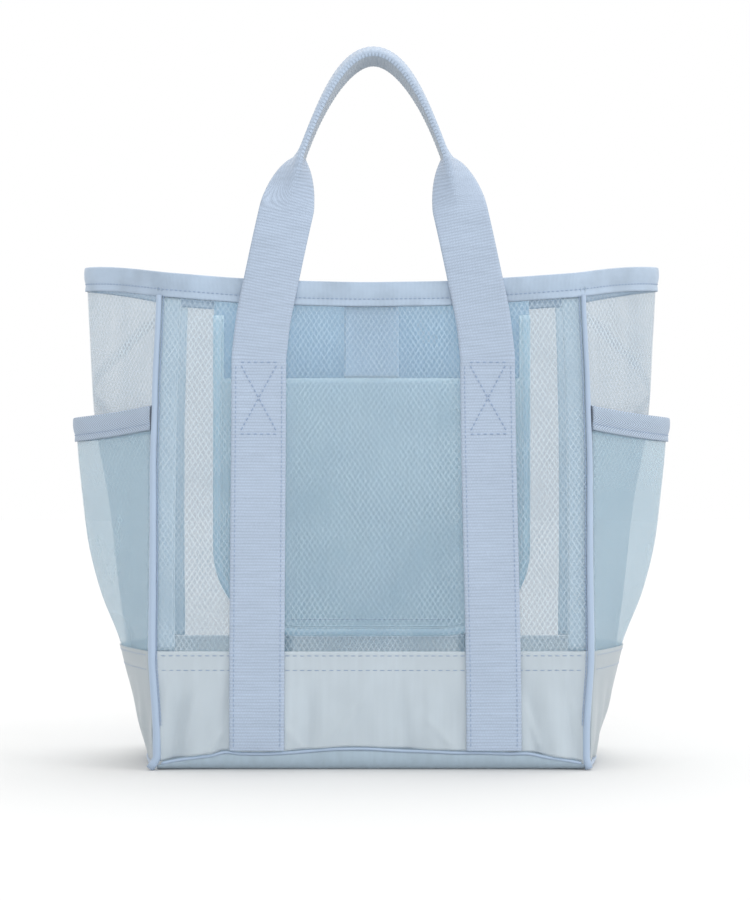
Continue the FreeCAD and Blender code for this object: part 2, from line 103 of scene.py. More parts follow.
WEBBING_WIDTH = 38.0
WEBBING_THICKNESS = 1.8
RIB_PITCH = 2.1
RIB_HEIGHT = 0.09

HANDLE_CENTRE = 1.3
HANDLE_AXIS = joint_point("front_handle_swing")
HANDLE_FOLD_RADIUS = 2.0
HANDLE_FOLD_LENGTH = math.pi * HANDLE_FOLD_RADIUS
# Stations up the front handle: the height, and half the span or the place front to back.
HANDLE_PATH = [(286, 79.4), (312, 76.3), (338, 71.2), (396, 58.8), (428, 50.3)]
HANDLE_LEAN = [(286, -64.7), (321, -63.3), (345, -61.2), (420, -50.5), (499, -38.0)]
HANDLE_PINCH = (398.0, 428.0)
GRIP_TOP = 499.9
GRIP_CURVE = 35.2
GRIP_RISE = 72.0
GRIP_HALF_ANGLE = 17.0
GRIP_NECK_ANGLE = 3.5
GRIP_CORD_PITCH = 2.6
GRIP_CORD_SLANT = 5.0
GRIP_FORWARD = 7.0
HANDLE_HANG = math.radians(178)
LEG_FOOT = {"left": -79.0, "right": 84.5}

HANGING_AXIS = joint_point("front_tab_swing")[2]
POUCH_HALF_WIDTH = 117.5
POUCH_FOOT = node_box("pouch_edge_binding")[0][2]
POUCH_CORNER = 65.0
POUCH_TOP = HANGING_AXIS + 12.0
POUCH_MOUTH = node_box("pouch_front_panel")[1][2]
POUCH_PLANE = joint_point("pouch_swing")[1]

# ---- numbers and curves -------------------------------------------------------------------


def smooth_profile(stations):
    """A curve through the stations with no overshoot between them (monotone cubic)."""
    xs = [s[0] for s in stations]
    ys = [s[1] for s in stations]
    last = len(xs) - 1
    slopes = [(ys[i + 1] - ys[i]) / (xs[i + 1] - xs[i]) for i in range(last)]
    tangents = [slopes[0]]
    for left, right in zip(slopes, slopes[1:]):
        tangents.append(2 * left * right / (left + right) if left * right > 0 else 0.0)
    tangents.append(slopes[-1])

    def value(x):
        i = 0
        while i < last - 1 and x > xs[i + 1]:
            i += 1
        span = xs[i + 1] - xs[i]
        t = (x - xs[i]) / span
        if t < 0:
            return ys[i] + tangents[i] * (x - xs[i])
        if t > 1:
            return ys[i + 1] + tangents[i + 1] * (x - xs[i + 1])
        rest = 1 - t
        ends = ys[i] * rest * rest * (1 + 2 * t) + ys[i + 1] * t * t * (3 - 2 * t)
        return ends + span * t * rest * (tangents[i] * rest - tangents[i + 1] * t)

    return value


def smooth_step(x, low, high):
    t = min(max((x - low) / (high - low), 0.0), 1.0)
    return t * t * (3 - 2 * t)


def unit(rows):
    return rows / np.maximum(np.linalg.norm(rows, axis=-1, keepdims=True), 1e-9)


def run_of(points):
    """Distance along a line of points, at each of them."""
    return np.concatenate([[0], np.cumsum(np.linalg.norm(np.diff(points, axis=0), axis=1))])


def at_run(here, run, rows):
    """The rows of a line, three numbers each, at some distance or distances along it."""
    rows = np.asarray(rows)
    return np.stack([np.interp(here, run, rows[:, axis]) for axis in range(3)], axis=-1)


def bump(x, centre, width):
    """A soft hill of height 1 about centre."""
    return math.exp(-((x - centre) / width) ** 2)


def crease(x, z, x1, z1, x2, z2, height):
    """A sharp raised fold between two points of the cloth, fading at its ends."""
    run_x, run_z = x2 - x1, z2 - z1
    length = math.hypot(run_x, run_z)
    along = ((x - x1) * run_x + (z - z1) * run_z) / length
    aside = ((x - x1) * run_z - (z - z1) * run_x) / length
    ends = smooth_step(along, -8, length * 0.35) * smooth_step(length + 6 - along, 0, length * 0.5)
    return height * ends * math.exp(-abs(aside) / CREASE_HALF_WIDTH)


def ripple(x, y, z, scale, seed=0.0):
    """Smooth noise, about -1 to 1, with features of about `scale` millimetres."""
    return noise.noise(Vector((x / scale + seed, y / scale - seed, z / scale + 2 * seed)))


corner_half_width = smooth_profile(CORNER_HALF_WIDTH)
half_depth = smooth_profile(HALF_DEPTH)
gusset_reach = smooth_profile(GUSSET_REACH)
pocket_reach = smooth_profile(POCKET_REACH)
handle_half_span = smooth_profile(HANDLE_PATH)
handle_lean = smooth_profile(HANDLE_LEAN)


def soft_vee(s, softness):
    """1 at the middle of a side and 0 at both corners, where s is 1 or -1."""
    edge = math.hypot(1, softness)
    return (edge - math.hypot(s, softness)) / (edge - softness)


def rim_height(across, over_gusset=0.0):
    """Top of the bag, with across from -1 to 1 along a wall and over_gusset from 0 to 1."""
    return RIM_MIDDLE + RIM_RISE_TO_CORNER * across ** 2 + RIM_RISE_OVER_GUSSET * over_gusset


def wall(x, z, facing=-1):
    """Front wall for facing -1 and back wall for facing 1."""
    share = x / corner_half_width(z)
    crown = WALL_CROWN * (1 - share ** 2) * math.sin(math.pi * min(z / RIM_MIDDLE, 1))
    return (x, facing * (half_depth(z) + crown), z)


def side_wall(s, z, side, corner, reach, softness):
    x = corner + (reach(z) - corner) * soft_vee(s, softness)
    return (side * x, s * half_depth(z), z)


def gusset_wall(s, z, side=1):
    """Side wall at s, from -1 at the front corner to 1 at the back one."""
    return side_wall(s, z, side, corner_half_width(z), gusset_reach, GUSSET_CREASE)


def pocket_wall(s, z, side=1):
    """The pocket outside that wall, and the base band below it."""
    corner = corner_half_width(z) + POCKET_STAND_OFF
    return side_wall(s, z, side, corner, pocket_reach, POCKET_CREASE)


def base_seam_height(across):
    """Climbs quickly from the corners, then wanders about one level between the handle legs."""
    climb = BASE_SEAM_RISE * (1 - abs(across) ** BASE_SEAM_STEEPNESS)
    x = BASE_SEAM_HALF_LENGTH * across
    puckers = sum(height * bump(x, centre, width) for centre, width, height in BASE_SEAM_PUCKERS)
    return BASE_SEAM_CORNER + 0.4 + climb + puckers


# ---- materials ----------------------------------------------------------------------------


class Recipe:
    """A material on one Principled shader, with its patterns worked out from nodes."""

    def __init__(self, name, roughness, sheen=0.0, specular=0.5, metallic=0.0, glow=(0.0, 0.0)):
        """glow is how much light the cloth lets through, and how deep in millimetres."""
        self.material = bpy.data.materials.new(name)
        self.material.use_nodes = True
        self.tree = self.material.node_tree
        self.shader = self.tree.nodes["Principled BSDF"]
        looks = {"Roughness": roughness, "Specular IOR Level": specular, "Metallic": metallic}
        if sheen:
            looks.update({"Sheen Weight": sheen, "Sheen Roughness": 0.5})
        if glow[0]:
            looks.update({"Subsurface Weight": glow[0], "Subsurface Scale": glow[1] * METRE,
                          "Subsurface Radius": (1.0, 1.0, 1.0)})
        self.set(self.shader, looks)

    def set(self, node, values):
        for socket, value in values.items():
            node.inputs[socket].default_value = value

    def node(self, kind, **settings):
        made = self.tree.nodes.new(kind)
        for key, value in settings.items():
            setattr(made, key, value)
        return made

    def put(self, socket, value):
        if isinstance(value, bpy.types.NodeSocket):
            self.tree.links.new(value, socket)
        else:
            socket.default_value = value

    def math(self, operation, a, b=0.0, c=0.0):
        made = self.node("ShaderNodeMath", operation=operation)
        for socket, value in zip(made.inputs, (a, b, c)):
            self.put(socket, value)
        return made.outputs[0]

    def total(self, *terms):
        """Sum of (value, share) terms."""
        scaled = [value if share == 1 else self.math("MULTIPLY", value, share)
                  for value, share in terms]
        mixed = scaled[0]
        for term in scaled[1:]:
            mixed = self.math("ADD", mixed, term)
        return mixed

    def weave(self):
        """The cloth's own coordinates in millimetres: across, along."""
        uv = self.node("ShaderNodeUVMap", uv_map="Weave")
        split = self.node("ShaderNodeSeparateXYZ")
        self.tree.links.new(uv.outputs["UV"], split.inputs[0])
        across = self.math("MULTIPLY", split.outputs[0], 1 / METRE)
        along = self.math("MULTIPLY", split.outputs[1], 1 / METRE)
        return across, along

    def noise(self, scale, detail=3.0, stretch=(1, 1, 1)):
        """Noise in the object's own space; scale is in features per metre."""
        place = self.node("ShaderNodeTexCoord")
        mapping = self.node("ShaderNodeMapping")
        self.set(mapping, {"Scale": stretch})
        self.tree.links.new(place.outputs["Object"], mapping.inputs["Vector"])
        made = self.node("ShaderNodeTexNoise")
        self.set(made, {"Scale": scale, "Detail": detail})
        self.tree.links.new(mapping.outputs[0], made.inputs["Vector"])
        return made.outputs["Fac"]

    def ramp(self, value, stops):
        """Colours against a value from 0 to 1; stops are (value, colour)."""
        made = self.node("ShaderNodeValToRGB")
        ramp = made.color_ramp
        while len(ramp.elements) < len(stops):
            ramp.elements.new(0.5)
        for element, (position, colour) in zip(ramp.elements, stops):
            element.position = position
            element.color = (*colour, 1)
        self.put(made.inputs["Fac"], value)
        return made.outputs["Color"]

    def wave(self, coordinate, pitch):
        """0 to 1 to 0 once per pitch."""
        turned = self.math("MULTIPLY", coordinate, 2 * math.pi / pitch)
        return self.math("MULTIPLY_ADD", self.math("COSINE", turned), -0.5, 0.5)

    def line(self, coordinate, pitch, width):
        """1 on lines of that width, once per pitch, with soft edges."""
        shifted = self.math("FRACT", self.math("MULTIPLY", coordinate, 1 / pitch))
        away = self.math("ABSOLUTE", self.math("SUBTRACT", shifted, 0.5))
        soft = self.node("ShaderNodeMapRange", interpolation_type="SMOOTHSTEP")
        half = 0.5 * width / pitch
        self.put(soft.inputs["Value"], away)
        self.set(soft, {"From Min": half * 0.5, "From Max": half * 1.5, "To Min": 1.0, "To Max": 0.0})
        return soft.outputs["Result"]

    def colour(self, value, stops):
        self.put(self.shader.inputs["Base Color"], self.ramp(value, stops))

    def relief(self, height, distance, strength=1.0):
        made = self.node("ShaderNodeBump")
        self.set(made, {"Distance": distance * METRE, "Strength": strength})
        self.put(made.inputs["Height"], height)
        self.put(self.shader.inputs["Normal"], made.outputs["Normal"])


def srgb(red, green, blue):
    """Linear colour for the eye's 0-255 values."""
    shares = [value / 255 for value in (red, green, blue)]
    return tuple(s / 12.92 if s <= 0.04045 else ((s + 0.055) / 1.055) ** 2.4 for s in shares)


def shades(colour, *stops):
    """Ramp stops with the colour at several brightnesses, from (position, gain) pairs."""
    return [(position, tuple(min(gain * c, 1.0) for c in colour)) for position, gain in stops]


NYLON_YARN = 0.6
BINDING_RIB = 0.9
HERRINGBONE_PITCH = 2.6
HERRINGBONE_TURN = 7.0
WEBBING_YARN = 1.1
MESH_COVER = 0.245  # share of each face of the net that hides what is behind it
UNEVEN_COVER = 0.08
NET_PITCH = 3.1
NET_THREAD = 0.5
NET_LEAN = math.radians(57)
LEAST_NET = 0.3
UPRIGHT = (1.0, 1.0, 0.06)  # stretches noise into upright streaks
GUSSET_FOLD = -140.0  # where the fold's diagonal starts, in the cloth's own millimetres
GUSSET_FOLD_WIDTH = 9.0
ONCE = 800.0  # a pitch longer than the cloth, so that one line falls on it


def mesh_cloth(name, ground, thread, cover=MESH_COVER, net_share=0.06, slack=0.0):
    """Sheer cloth with a faint net of finer, lighter threads in tall diamonds.

    slack adds upright pleats and one diagonal fold, where the doubled cloth hides more.
    """
    recipe = Recipe(name, roughness=0.75, sheen=0.15, specular=0.3)
    across, along = recipe.weave()
    rise = recipe.math("MULTIPLY", across, math.sin(NET_LEAN))
    run = recipe.math("MULTIPLY", along, math.cos(NET_LEAN))
    threads = [recipe.line(recipe.math(way, rise, run), NET_PITCH, NET_THREAD)
               for way in ("ADD", "SUBTRACT")]
    strength = recipe.math("MULTIPLY_ADD", recipe.noise(24.0, 2.0), 2.0, -0.3)
    shown = recipe.math("MULTIPLY", recipe.math("MAXIMUM", *threads),
                        recipe.math("MAXIMUM", strength, LEAST_NET))
    hidden = recipe.math("MULTIPLY_ADD", recipe.noise(18.0, 3.0), UNEVEN_COVER, cover - UNEVEN_COVER / 2)
    if slack:
        pleats = recipe.math("SUBTRACT", recipe.noise(70.0, 2.0, UPRIGHT), 0.5)
        diagonal = recipe.math("MULTIPLY_ADD", across, 0.75, along)
        bent = recipe.math("MULTIPLY_ADD", recipe.noise(12.0, 1.0), 14.0, diagonal)
        fold = recipe.line(recipe.math("SUBTRACT", bent, GUSSET_FOLD), ONCE, GUSSET_FOLD_WIDTH)
        hidden = recipe.math("MULTIPLY_ADD", pleats, slack, hidden)
        hidden = recipe.math("MULTIPLY_ADD", fold, 0.6 * slack, hidden)
    recipe.put(recipe.shader.inputs["Alpha"], recipe.math("MULTIPLY_ADD", shown, net_share, hidden))
    recipe.colour(shown, [(0.0, ground), (0.6, thread)])
    return recipe.material


def nylon(name, colour, roughness, streak=1.0, glow=(0.0, 0.0)):
    """Tight plain-woven nylon with a soft sheen.  In its colour, the fine upright streaks are painted
    sheen and the broad cloudy patches are painted shade of soft folds.
    """
    recipe = Recipe(name, roughness, 0.2, 0.45, glow=glow)
    across, along = recipe.weave()
    yarn = recipe.math("MULTIPLY", recipe.wave(across, NYLON_YARN), recipe.wave(along, NYLON_YARN))
    streaks = recipe.noise(220.0, 3.0, UPRIGHT)
    clouds = recipe.noise(22.0, 4.0)
    # Colour: upright streaks of painted sheen and cloudy patches of painted fold shade.
    recipe.colour(recipe.total((streaks, 0.55 * streak), (clouds, 0.45)),
                  shades(colour, (0.33, 0.9), (0.67, 1.05)))
    recipe.relief(recipe.total((yarn, 0.12), (clouds, 1)), 0.7, 0.6)
    return recipe.material


def ribbed_tape(name, base):
    """Satin binding with very fine cross ribs; the broad lighter and darker patches in its colour are
    painted satin sheen.
    """
    recipe = Recipe(name, roughness=0.42, sheen=0.25, specular=0.5)
    ribs = recipe.wave(recipe.weave()[0], BINDING_RIB)
    clouds = recipe.noise(45.0, 4.0)
    # Colour: the fine ribs, plus broad patches of painted satin sheen.
    recipe.colour(recipe.total((ribs, 0.15), (clouds, 0.85)), shades(base, (0.3, 0.82), (0.62, 1.06)))
    recipe.relief(recipe.total((ribs, 0.12), (clouds, 1)), 1.6, 0.7)
    return recipe.material


def herringbone_tape(name, base):
    """Twill that turns back on itself, with its ribs at a slant on both sides of each turn."""
    recipe = Recipe(name, roughness=0.6, sheen=0.2, specular=0.35)
    across, along = recipe.weave()
    zigzag = recipe.math("PINGPONG", along, HERRINGBONE_TURN)
    twill = recipe.wave(recipe.total((across, 1), (zigzag, 1.5)), HERRINGBONE_PITCH)
    clouds = recipe.noise(40.0, 2.0)
    recipe.colour(recipe.total((twill, 0.75), (clouds, 0.25)), shades(base, (0.1, 0.5), (0.75, 1)))
    recipe.relief(twill, 0.6)
    return recipe.material


def webbing(name, base, dark, ribs=0.2):
    """Cross-ribbed webbing: the ribs are in the mesh, and the yarns are here."""
    recipe = Recipe(name, roughness=0.65, sheen=0.3, specular=0.35)
    across, along = recipe.weave()
    valley = recipe.wave(along, RIB_PITCH)
    row = recipe.math("FLOOR", recipe.math("MULTIPLY", along, 1 / RIB_PITCH))
    yarn = recipe.wave(recipe.total((across, 1), (row, WEBBING_YARN / 2)), WEBBING_YARN)
    fuzz = recipe.noise(900.0, 2.0)
    clouds = recipe.noise(14.0, 3.0)
    uneven = recipe.noise(420.0, 1.0, (0.1, 0.1, 1.0))
    tone = recipe.total((valley, ribs), (yarn, 0.18), (fuzz, 0.25), (uneven, 0.25), (clouds, 0.22))
    recipe.colour(tone, shades(base, (0.2, dark), (0.85, 1)))
    recipe.relief(recipe.total((yarn, 1), (fuzz, 0.8)), 0.12)
    return recipe.material


def plain(name, base, darkest, lightest, grain, **looks):
    """One colour, a little uneven; grain is the scale and detail of the noise in it."""
    recipe = Recipe(name, **looks)
    recipe.colour(recipe.noise(*grain), shades(base, (0.0, darkest), (1.0, lightest)))
    return recipe.material


WALL_MESH = mesh_cloth("wall_mesh", srgb(140, 164, 180), srgb(204, 220, 232))
GUSSET_MESH = mesh_cloth("gusset_mesh", srgb(138, 161, 178), srgb(204, 218, 228), 0.235, 0.07, 0.12)
POCKET_MESH = mesh_cloth("pocket_mesh", srgb(162, 189, 204), srgb(182, 207, 220), 0.31, 0.035)
BAND_NYLON = nylon("band_nylon", srgb(184, 195, 203), 0.5, 0.5, (0.35, 2.0))
# The bands' inner face: a little lighter as coated nylon, and much lighter still as painted light for
# the dim inside of the bag.
BAND_INSIDE_LIGHTENED = nylon("band_lining", srgb(228, 246, 254), 0.5, 0.8, (0.8, 4.0))
# A darker copy of the band nylon for the side bands: painted shade against the stronger light on the
# sides.
SIDE_NYLON_SHADED = nylon("side_nylon_painted_shade", srgb(164, 174, 180), 0.5, 0.5, (0.35, 2.0))
BASE_NYLON = nylon("base_nylon", srgb(163, 181, 195), 0.5)
# One pouch nylon in two copies: darker for the back panel, and lighter for the front panel and its edge
# tape. These are painted shade and painted light that even out how the panels are lit.
POUCH_BACK_NYLON_SHADED = nylon("pouch_nylon", srgb(170, 202, 228), 0.42, 0.6, (0.6, 1.5))
POUCH_FRONT_NYLON_LIT = nylon("pouch_front_nylon_painted_light", srgb(206, 235, 254), 0.42, 0.6, (0.6, 1.5))
TAB_SATIN = nylon("tab_satin", srgb(182, 208, 232), 0.4, 0.5, (0.5, 1.5))
PIPING_NYLON = nylon("piping_nylon", srgb(166, 185, 208), 0.5, 0.4)
SEAM_NYLON = nylon("seam_nylon", srgb(200, 216, 229), 0.6, 0.4, (0.8, 3.0))
BINDING = ribbed_tape("binding_tape", srgb(161, 179, 199))
HERRINGBONE = herringbone_tape("herringbone_tape", srgb(186, 204, 226))
WEBBING = webbing("webbing", srgb(179, 195, 216), 0.6)
WEBBING_CORDS = webbing("webbing_cords", srgb(176, 192, 212), 0.5, 0.65)
# A darker, greyer copy of the webbing for the inner half of the folded grip: painted shade.
WEBBING_PAINTED_SHADE = webbing("webbing_painted_shade", srgb(168, 179, 191), 0.75, 0.1)
THREAD = plain("thread", srgb(140, 160, 188), 0.85, 1.0, (1500.0, 1.0), roughness=0.55, sheen=0.2)
METAL = plain("snap_metal", (0.62, 0.63, 0.64), 0.9, 1.05, (200.0, 3.0), roughness=0.28, metallic=1.0)
PAPER = plain("floor", (0.705, 0.705, 0.70), 0.99, 1.0, (3.0, 2.0), roughness=0.9, specular=0.1)

# ---- building pieces ----------------------------------------------------------------------


def faces_inwards(points, faces):
    """True if a closed mesh has its faces turned to the inside."""
    volume = 0.0
    for sides in sorted({len(face) for face in faces}):
        corners = points[np.array([face for face in faces if len(face) == sides])]
        for k in range(1, sides - 1):
            volume += np.sum(corners[:, 0] * np.cross(corners[:, k], corners[:, k + 1]))
    return volume < 0


def make_piece(name, points, faces, material, uvs=None):
    """A mesh object from points in millimetres; uvs holds one (across, along) per point."""
    points = np.asarray(points)
    if faces_inwards(points, faces):
        faces = [tuple(reversed(face)) for face in faces]
    data = bpy.data.meshes.new(name)
    data.from_pydata([tuple(p) for p in points * METRE], [], faces)
    data.update()
    if uvs is not None:
        layer = data.uv_layers.new(name="Weave")
        order = np.empty(len(data.loops), dtype=np.int32)
        data.loops.foreach_get("vertex_index", order)
        layer.data.foreach_set("uv", (np.asarray(uvs)[order] * METRE).astype(np.float32).ravel())
    data.polygons.foreach_set("use_smooth", [True] * len(data.polygons))
    data.materials.append(material)
    piece = bpy.data.objects.new(name, data)
    bpy.context.scene.collection.objects.link(piece)
    return piece


def finish_piece(piece, nodes=(), body="root"):
    if nodes:
        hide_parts(*nodes)
    if body:
        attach(piece, body)


def normals_of(grid, outward):
    """Unit normals of a grid of points, turned to the side of `outward`, one vector per point."""
    along_u = np.gradient(grid, axis=0)
    along_v = np.gradient(grid, axis=1)
    normal = unit(np.cross(along_u, along_v))
    flip = np.sum(normal * outward, axis=-1, keepdims=True) < 0
    return np.where(flip, -normal, normal)


def layer_faces(columns, rows):
    """Faces of a closed sheet of two layers, each of columns x rows points."""
    back = columns * rows
    faces = []
    for start in range(0, back - rows, rows):
        for a in range(start, start + rows - 1):
            quad = (a, a + rows, a + rows + 1, a + 1)
            faces += [quad, tuple(back + k for k in reversed(quad))]
    rim = list(range(0, back, rows)) + list(range(back - rows + 1, back))
    rim += list(range(back - rows - 1, 0, -rows)) + list(range(rows - 2, 0, -1))
    for a, b in zip(rim, rim[1:] + rim[:1]):
        faces.append((b, a, back + a, back + b))
    return faces


def ring_faces(count, ring, closed=False, first=0):
    """Faces between `count` rings of points, capped at both ends unless closed."""
    faces = []
    for k in range(count if closed else count - 1):
        here, beyond = first + k * ring, first + (k + 1) % count * ring
        for j in range(ring):
            m = (j + 1) % ring
            faces.append((here + j, here + m, beyond + m, beyond + j))
    if not closed:
        last = first + (count - 1) * ring
        faces += [tuple(range(first + ring - 1, first - 1, -1)), tuple(range(last, last + ring))]
    return faces


def cloth(name, place, columns, rows, material, low, thickness,
          relief=None, outward=None, lining=None):
    """Even cloth between `low` and `low + thickness` millimetres outside place(u, v).

    relief(x, y, z) moves the cloth outwards, for wrinkles.  outward is away from the middle
    of the bag unless it is given.  lining is the material of the inner side.
    """
    us = np.linspace(0, 1, columns)
    vs = np.linspace(0, 1, rows)
    grid = np.array([[place(u, v) for v in vs] for u in us], dtype=float)
    facing = grid * (1, 1, 0) if outward is None else np.broadcast_to(outward, grid.shape)
    lift = np.full((columns, rows), low)
    if relief:
        lift = lift + np.array([[relief(*p) for p in row] for row in grid])
    inner = grid + normals_of(grid, facing) * lift[..., None]
    outer = inner + normals_of(inner, facing) * thickness
    weave = np.meshgrid(run_of(grid[:, rows // 2]), run_of(grid[columns // 2]), indexing="ij")
    uv = np.stack(weave, axis=-1).reshape(-1, 2)
    points = np.concatenate([outer.reshape(-1, 3), inner.reshape(-1, 3)])
    faces = layer_faces(columns, rows)
    piece = make_piece(name, points, faces, material, np.concatenate([uv, uv]))
    if lining:
        piece.data.materials.append(lining)
        for polygon in piece.data.polygons:
            polygon.material_index = int(min(polygon.vertices) >= columns * rows)
    return piece


def stretched_cloth(node, flat, rests_on, slot, *shape, **more):
    """Cloth that stands for one CAD node and is held stretched between its seams."""
    piece = cloth(node + "_cloth", *shape, **more)
    finish_piece(piece, [node])


def piping(node, centres, radii, sides=14):
    """A round piping through the centres, closed at both ends, that stands for a CAD node."""
    centres = np.asarray(centres, dtype=float)
    forward = unit(np.gradient(centres, axis=0))
    guide = np.array([0.0, 0.0, 1.0]) if abs(forward[0][2]) < 0.7 else np.array([0.0, 1.0, 0.0])
    side = unit(np.cross(forward, guide))
    up = np.cross(side, forward)
    along = run_of(centres)
    turns = np.arange(sides) * 2 * math.pi / sides
    radii = np.broadcast_to(radii, (len(centres),))
    points = []
    uvs = []
    for k in range(len(centres)):
        ring = side[k] * np.cos(turns)[:, None] + up[k] * np.sin(turns)[:, None]
        points.extend(centres[k] + radii[k] * ring)
        uvs.extend([(turn * radii[k], along[k]) for turn in turns])
    piece = make_piece(node + "_cloth", points, ring_faces(len(centres), sides), PIPING_NYLON, uvs)
    finish_piece(piece, [node])


def folded_tape(name, edge, low, outward, material, closed, height, half_gap,
                thickness=0.9, pinch=5.0):
    """Binding folded over an edge, plump above its row of stitches and flared below it.

    edge and low are the points on the fold and `height` below it; outward is one vector each.
    """
    up = unit(edge - low)
    outward = unit(outward - up * np.sum(outward * up, axis=1, keepdims=True))
    stitch = height - pinch

    def outer_offset(drop):
        plump = 0.75 * math.sin(math.pi * min(drop / stitch, 1.0)) ** 0.8 if drop < stitch else 0.0
        flare = 0.45 * smooth_step(drop, stitch, height)
        return half_gap + thickness + plump + flare - 0.25 * bump(drop, stitch, 1.2)

    drops = list(np.linspace(0.5, height, 15))
    outline = [(-outer_offset(d), -d) for d in reversed(drops)]
    top = half_gap + thickness
    over = np.radians((-60, -30, 0, 30, 60))
    outline += [(top * math.sin(a), -0.5 + 0.7 * math.cos(a)) for a in over]
    outline += [(outer_offset(d), -d) for d in drops]
    outline += [(half_gap, -height), (half_gap, -thickness)]
    outline += [(-half_gap, -thickness), (-half_gap, -height)]
    ring = len(outline)
    path = run_of(edge)
    if closed:
        path = np.minimum(path, path[-1] + path[1] - path)
    points = []
    uvs = []
    for k in range(len(edge)):
        for (a, b), run in zip(outline, run_of(outline)):
            points.append(edge[k] + outward[k] * a + up[k] * b)
            uvs.append((path[k], run))
    return make_piece(name, points, ring_faces(len(edge), ring, closed), material, uvs)


def stitch_row(points, normals, pitch):
    """Places for stitches along a line: (centre, direction, normal) each."""
    points = np.asarray(points, dtype=float)
    run = run_of(points)
    count = max(int(run[-1] / pitch), 1)
    spots = []
    for k in range(count):
        here = (k + 0.5) * run[-1] / count
        heading = at_run(here + 0.4, run, points) - at_run(here - 0.4, run, points)
        spots.append((at_run(here, run, points), unit(heading), unit(at_run(here, run, normals))))
    return spots


# Along a stitch in shares of its length: where, how high in radii, and how thick.
STITCH = [(-0.5, -0.9, 0.45), (-0.36, -0.1, 0.85), (0.0, 0.25, 1.0), (0.36, -0.1, 0.85),
          (0.5, -0.9, 0.45)]
STITCH_SIDES = 6


def stitches(name, spots, length, radius, body="root"):
    """One piece of thread per spot, bent down into the cloth at both ends."""
    points = []
    faces = []
    for centre, direction, normal in spots:
        faces += ring_faces(len(STITCH), STITCH_SIDES, first=len(points))
        side = unit(np.cross(direction, normal))
        for along, lift, share in STITCH:
            hub = centre + direction * along * length + normal * lift * radius
            for j in range(STITCH_SIDES):
                turn = 2 * math.pi * j / STITCH_SIDES
                points.append(hub + radius * share * (side * math.cos(turn) + normal * math.sin(turn)))
    finish_piece(make_piece(name, points, faces, THREAD), body=body)


# ---- camera, floor and light --------------------------------------------------------------

EYE = (0.0025, -1.802, 0.221)
LENS = 100.1
SUNS = [("overhead", (0.15, 0.3, 1.0), 45, 1.25),
        ("front_fill", (0.0, -1.0, 0.4), 30, 0.55),
        ("right_key", (1.0, -0.45, 0.35), 25, 0.62)]
FLOOR_HALF_WIDTH = 6.0


def set_camera():
    data = bpy.data.cameras.new("camera")
    data.lens = LENS
    data.sensor_width = 36
    camera = bpy.data.objects.new("camera", data)
    camera.location = EYE
    camera.rotation_euler = (math.pi / 2, 0, 0)
    bpy.context.scene.collection.objects.link(camera)
    bpy.context.scene.camera = camera


def soft_sun(name, source, spread, power):
    """Even light from the direction of `source`, spread over that many degrees."""
    data = bpy.data.lights.new(name, "SUN")
    data.energy = power
    data.angle = math.radians(spread)
    lamp = bpy.data.objects.new(name, data)
    lamp.location = source
    lamp.rotation_euler = (-Vector(source)).to_track_quat("-Z", "Y").to_euler()
    bpy.context.scene.collection.objects.link(lamp)


def set_stage():
    scene = bpy.context.scene
    scene.view_settings.view_transform = "Standard"
    scene.cycles.transparent_max_bounces = 32
    world = bpy.data.worlds.new("studio")
    scene.world = world
    world.use_nodes = True
    background = world.node_tree.nodes["Background"]
    background.inputs["Color"].default_value = (1.0, 1.0, 1.0, 1)
    background.inputs["Strength"].default_value = 1.0
    for sun in SUNS:
        soft_sun(*sun)
    corners = np.array([(-1, -1, 0), (1, -1, 0), (1, 1, 0), (-1, 1, 0)]) * FLOOR_HALF_WIDTH
    make_piece("floor", corners / METRE, [(0, 1, 2, 3)], PAPER)


set_camera()
set_stage()

# ---- walls --------------------------------------------------------------------------------

SEAM_GAP = 1.2
BAND_THREAD_OUT = 1.15
THREAD_OUT = 1.35  # from the cloth's middle to the thread on a binding
SEAM_TAPE_WIDTHS = (14.0, 10.0)
UNDER_FOLD = 1.6  # from the fold of a binding down to the cloth's edge inside it
SHEER = (-0.2, 0.4)  # where the mesh starts outside its wall surface, and how thick it is
NYLON = (0.5, 0.6)
INSIDE_TAPE = (-1.5, 0.8)
WALLS = (("front", -1), ("back", 1))
SIDES = (("right", 1), ("left", -1))


def wall_between(across, z, facing):
    """A wall, from -1 to 1 across, that stops short of the corner seams."""
    return wall(across * (corner_half_width(z) - SEAM_GAP), z, facing)


def side_share(u):
    """Place on a side wall for u from 0 to 1, short of the corner seams."""
    return (2 * u - 1) * (1 - SEAM_GAP * 0.8 / HALF_DEPTH[-1][1])


def wall_relief(x, y, z):
    """Slack in the mesh: broad swells that fade towards the seams."""
    swell = 0.9 * ripple(x, 0, z, 70.0, 3.1) + 0.35 * ripple(x, 0, z, 28.0, 7.7)
    free = smooth_step(corner_half_width(z) - abs(x), 18, 45)
    return swell * free * smooth_step(RIM_MIDDLE - z, 18, 60) * smooth_step(z, BAND_TOP, BAND_TOP + 40)


def make_mesh_panels():
    for side, facing in WALLS:
        def place(u, v):
            across = 2 * u - 1
            top = rim_height(across) - UNDER_FOLD
            return wall_between(across, MESH_FOOT + v * (top - MESH_FOOT), facing)
        stretched_cloth(side + "_mesh_panel", (0.297, 0.272), ["rim_binding_tape"], "mesh",
                        place, 60, 56, WALL_MESH, *SHEER, wall_relief)


# A crease is the (across, height) of both ends and how far it stands out; a fold is
# (across, width, how far out).
GUSSET_CREASES = [(-52, 326, -8, 288, 2.4), (46, 318, 12, 270, 1.6)]


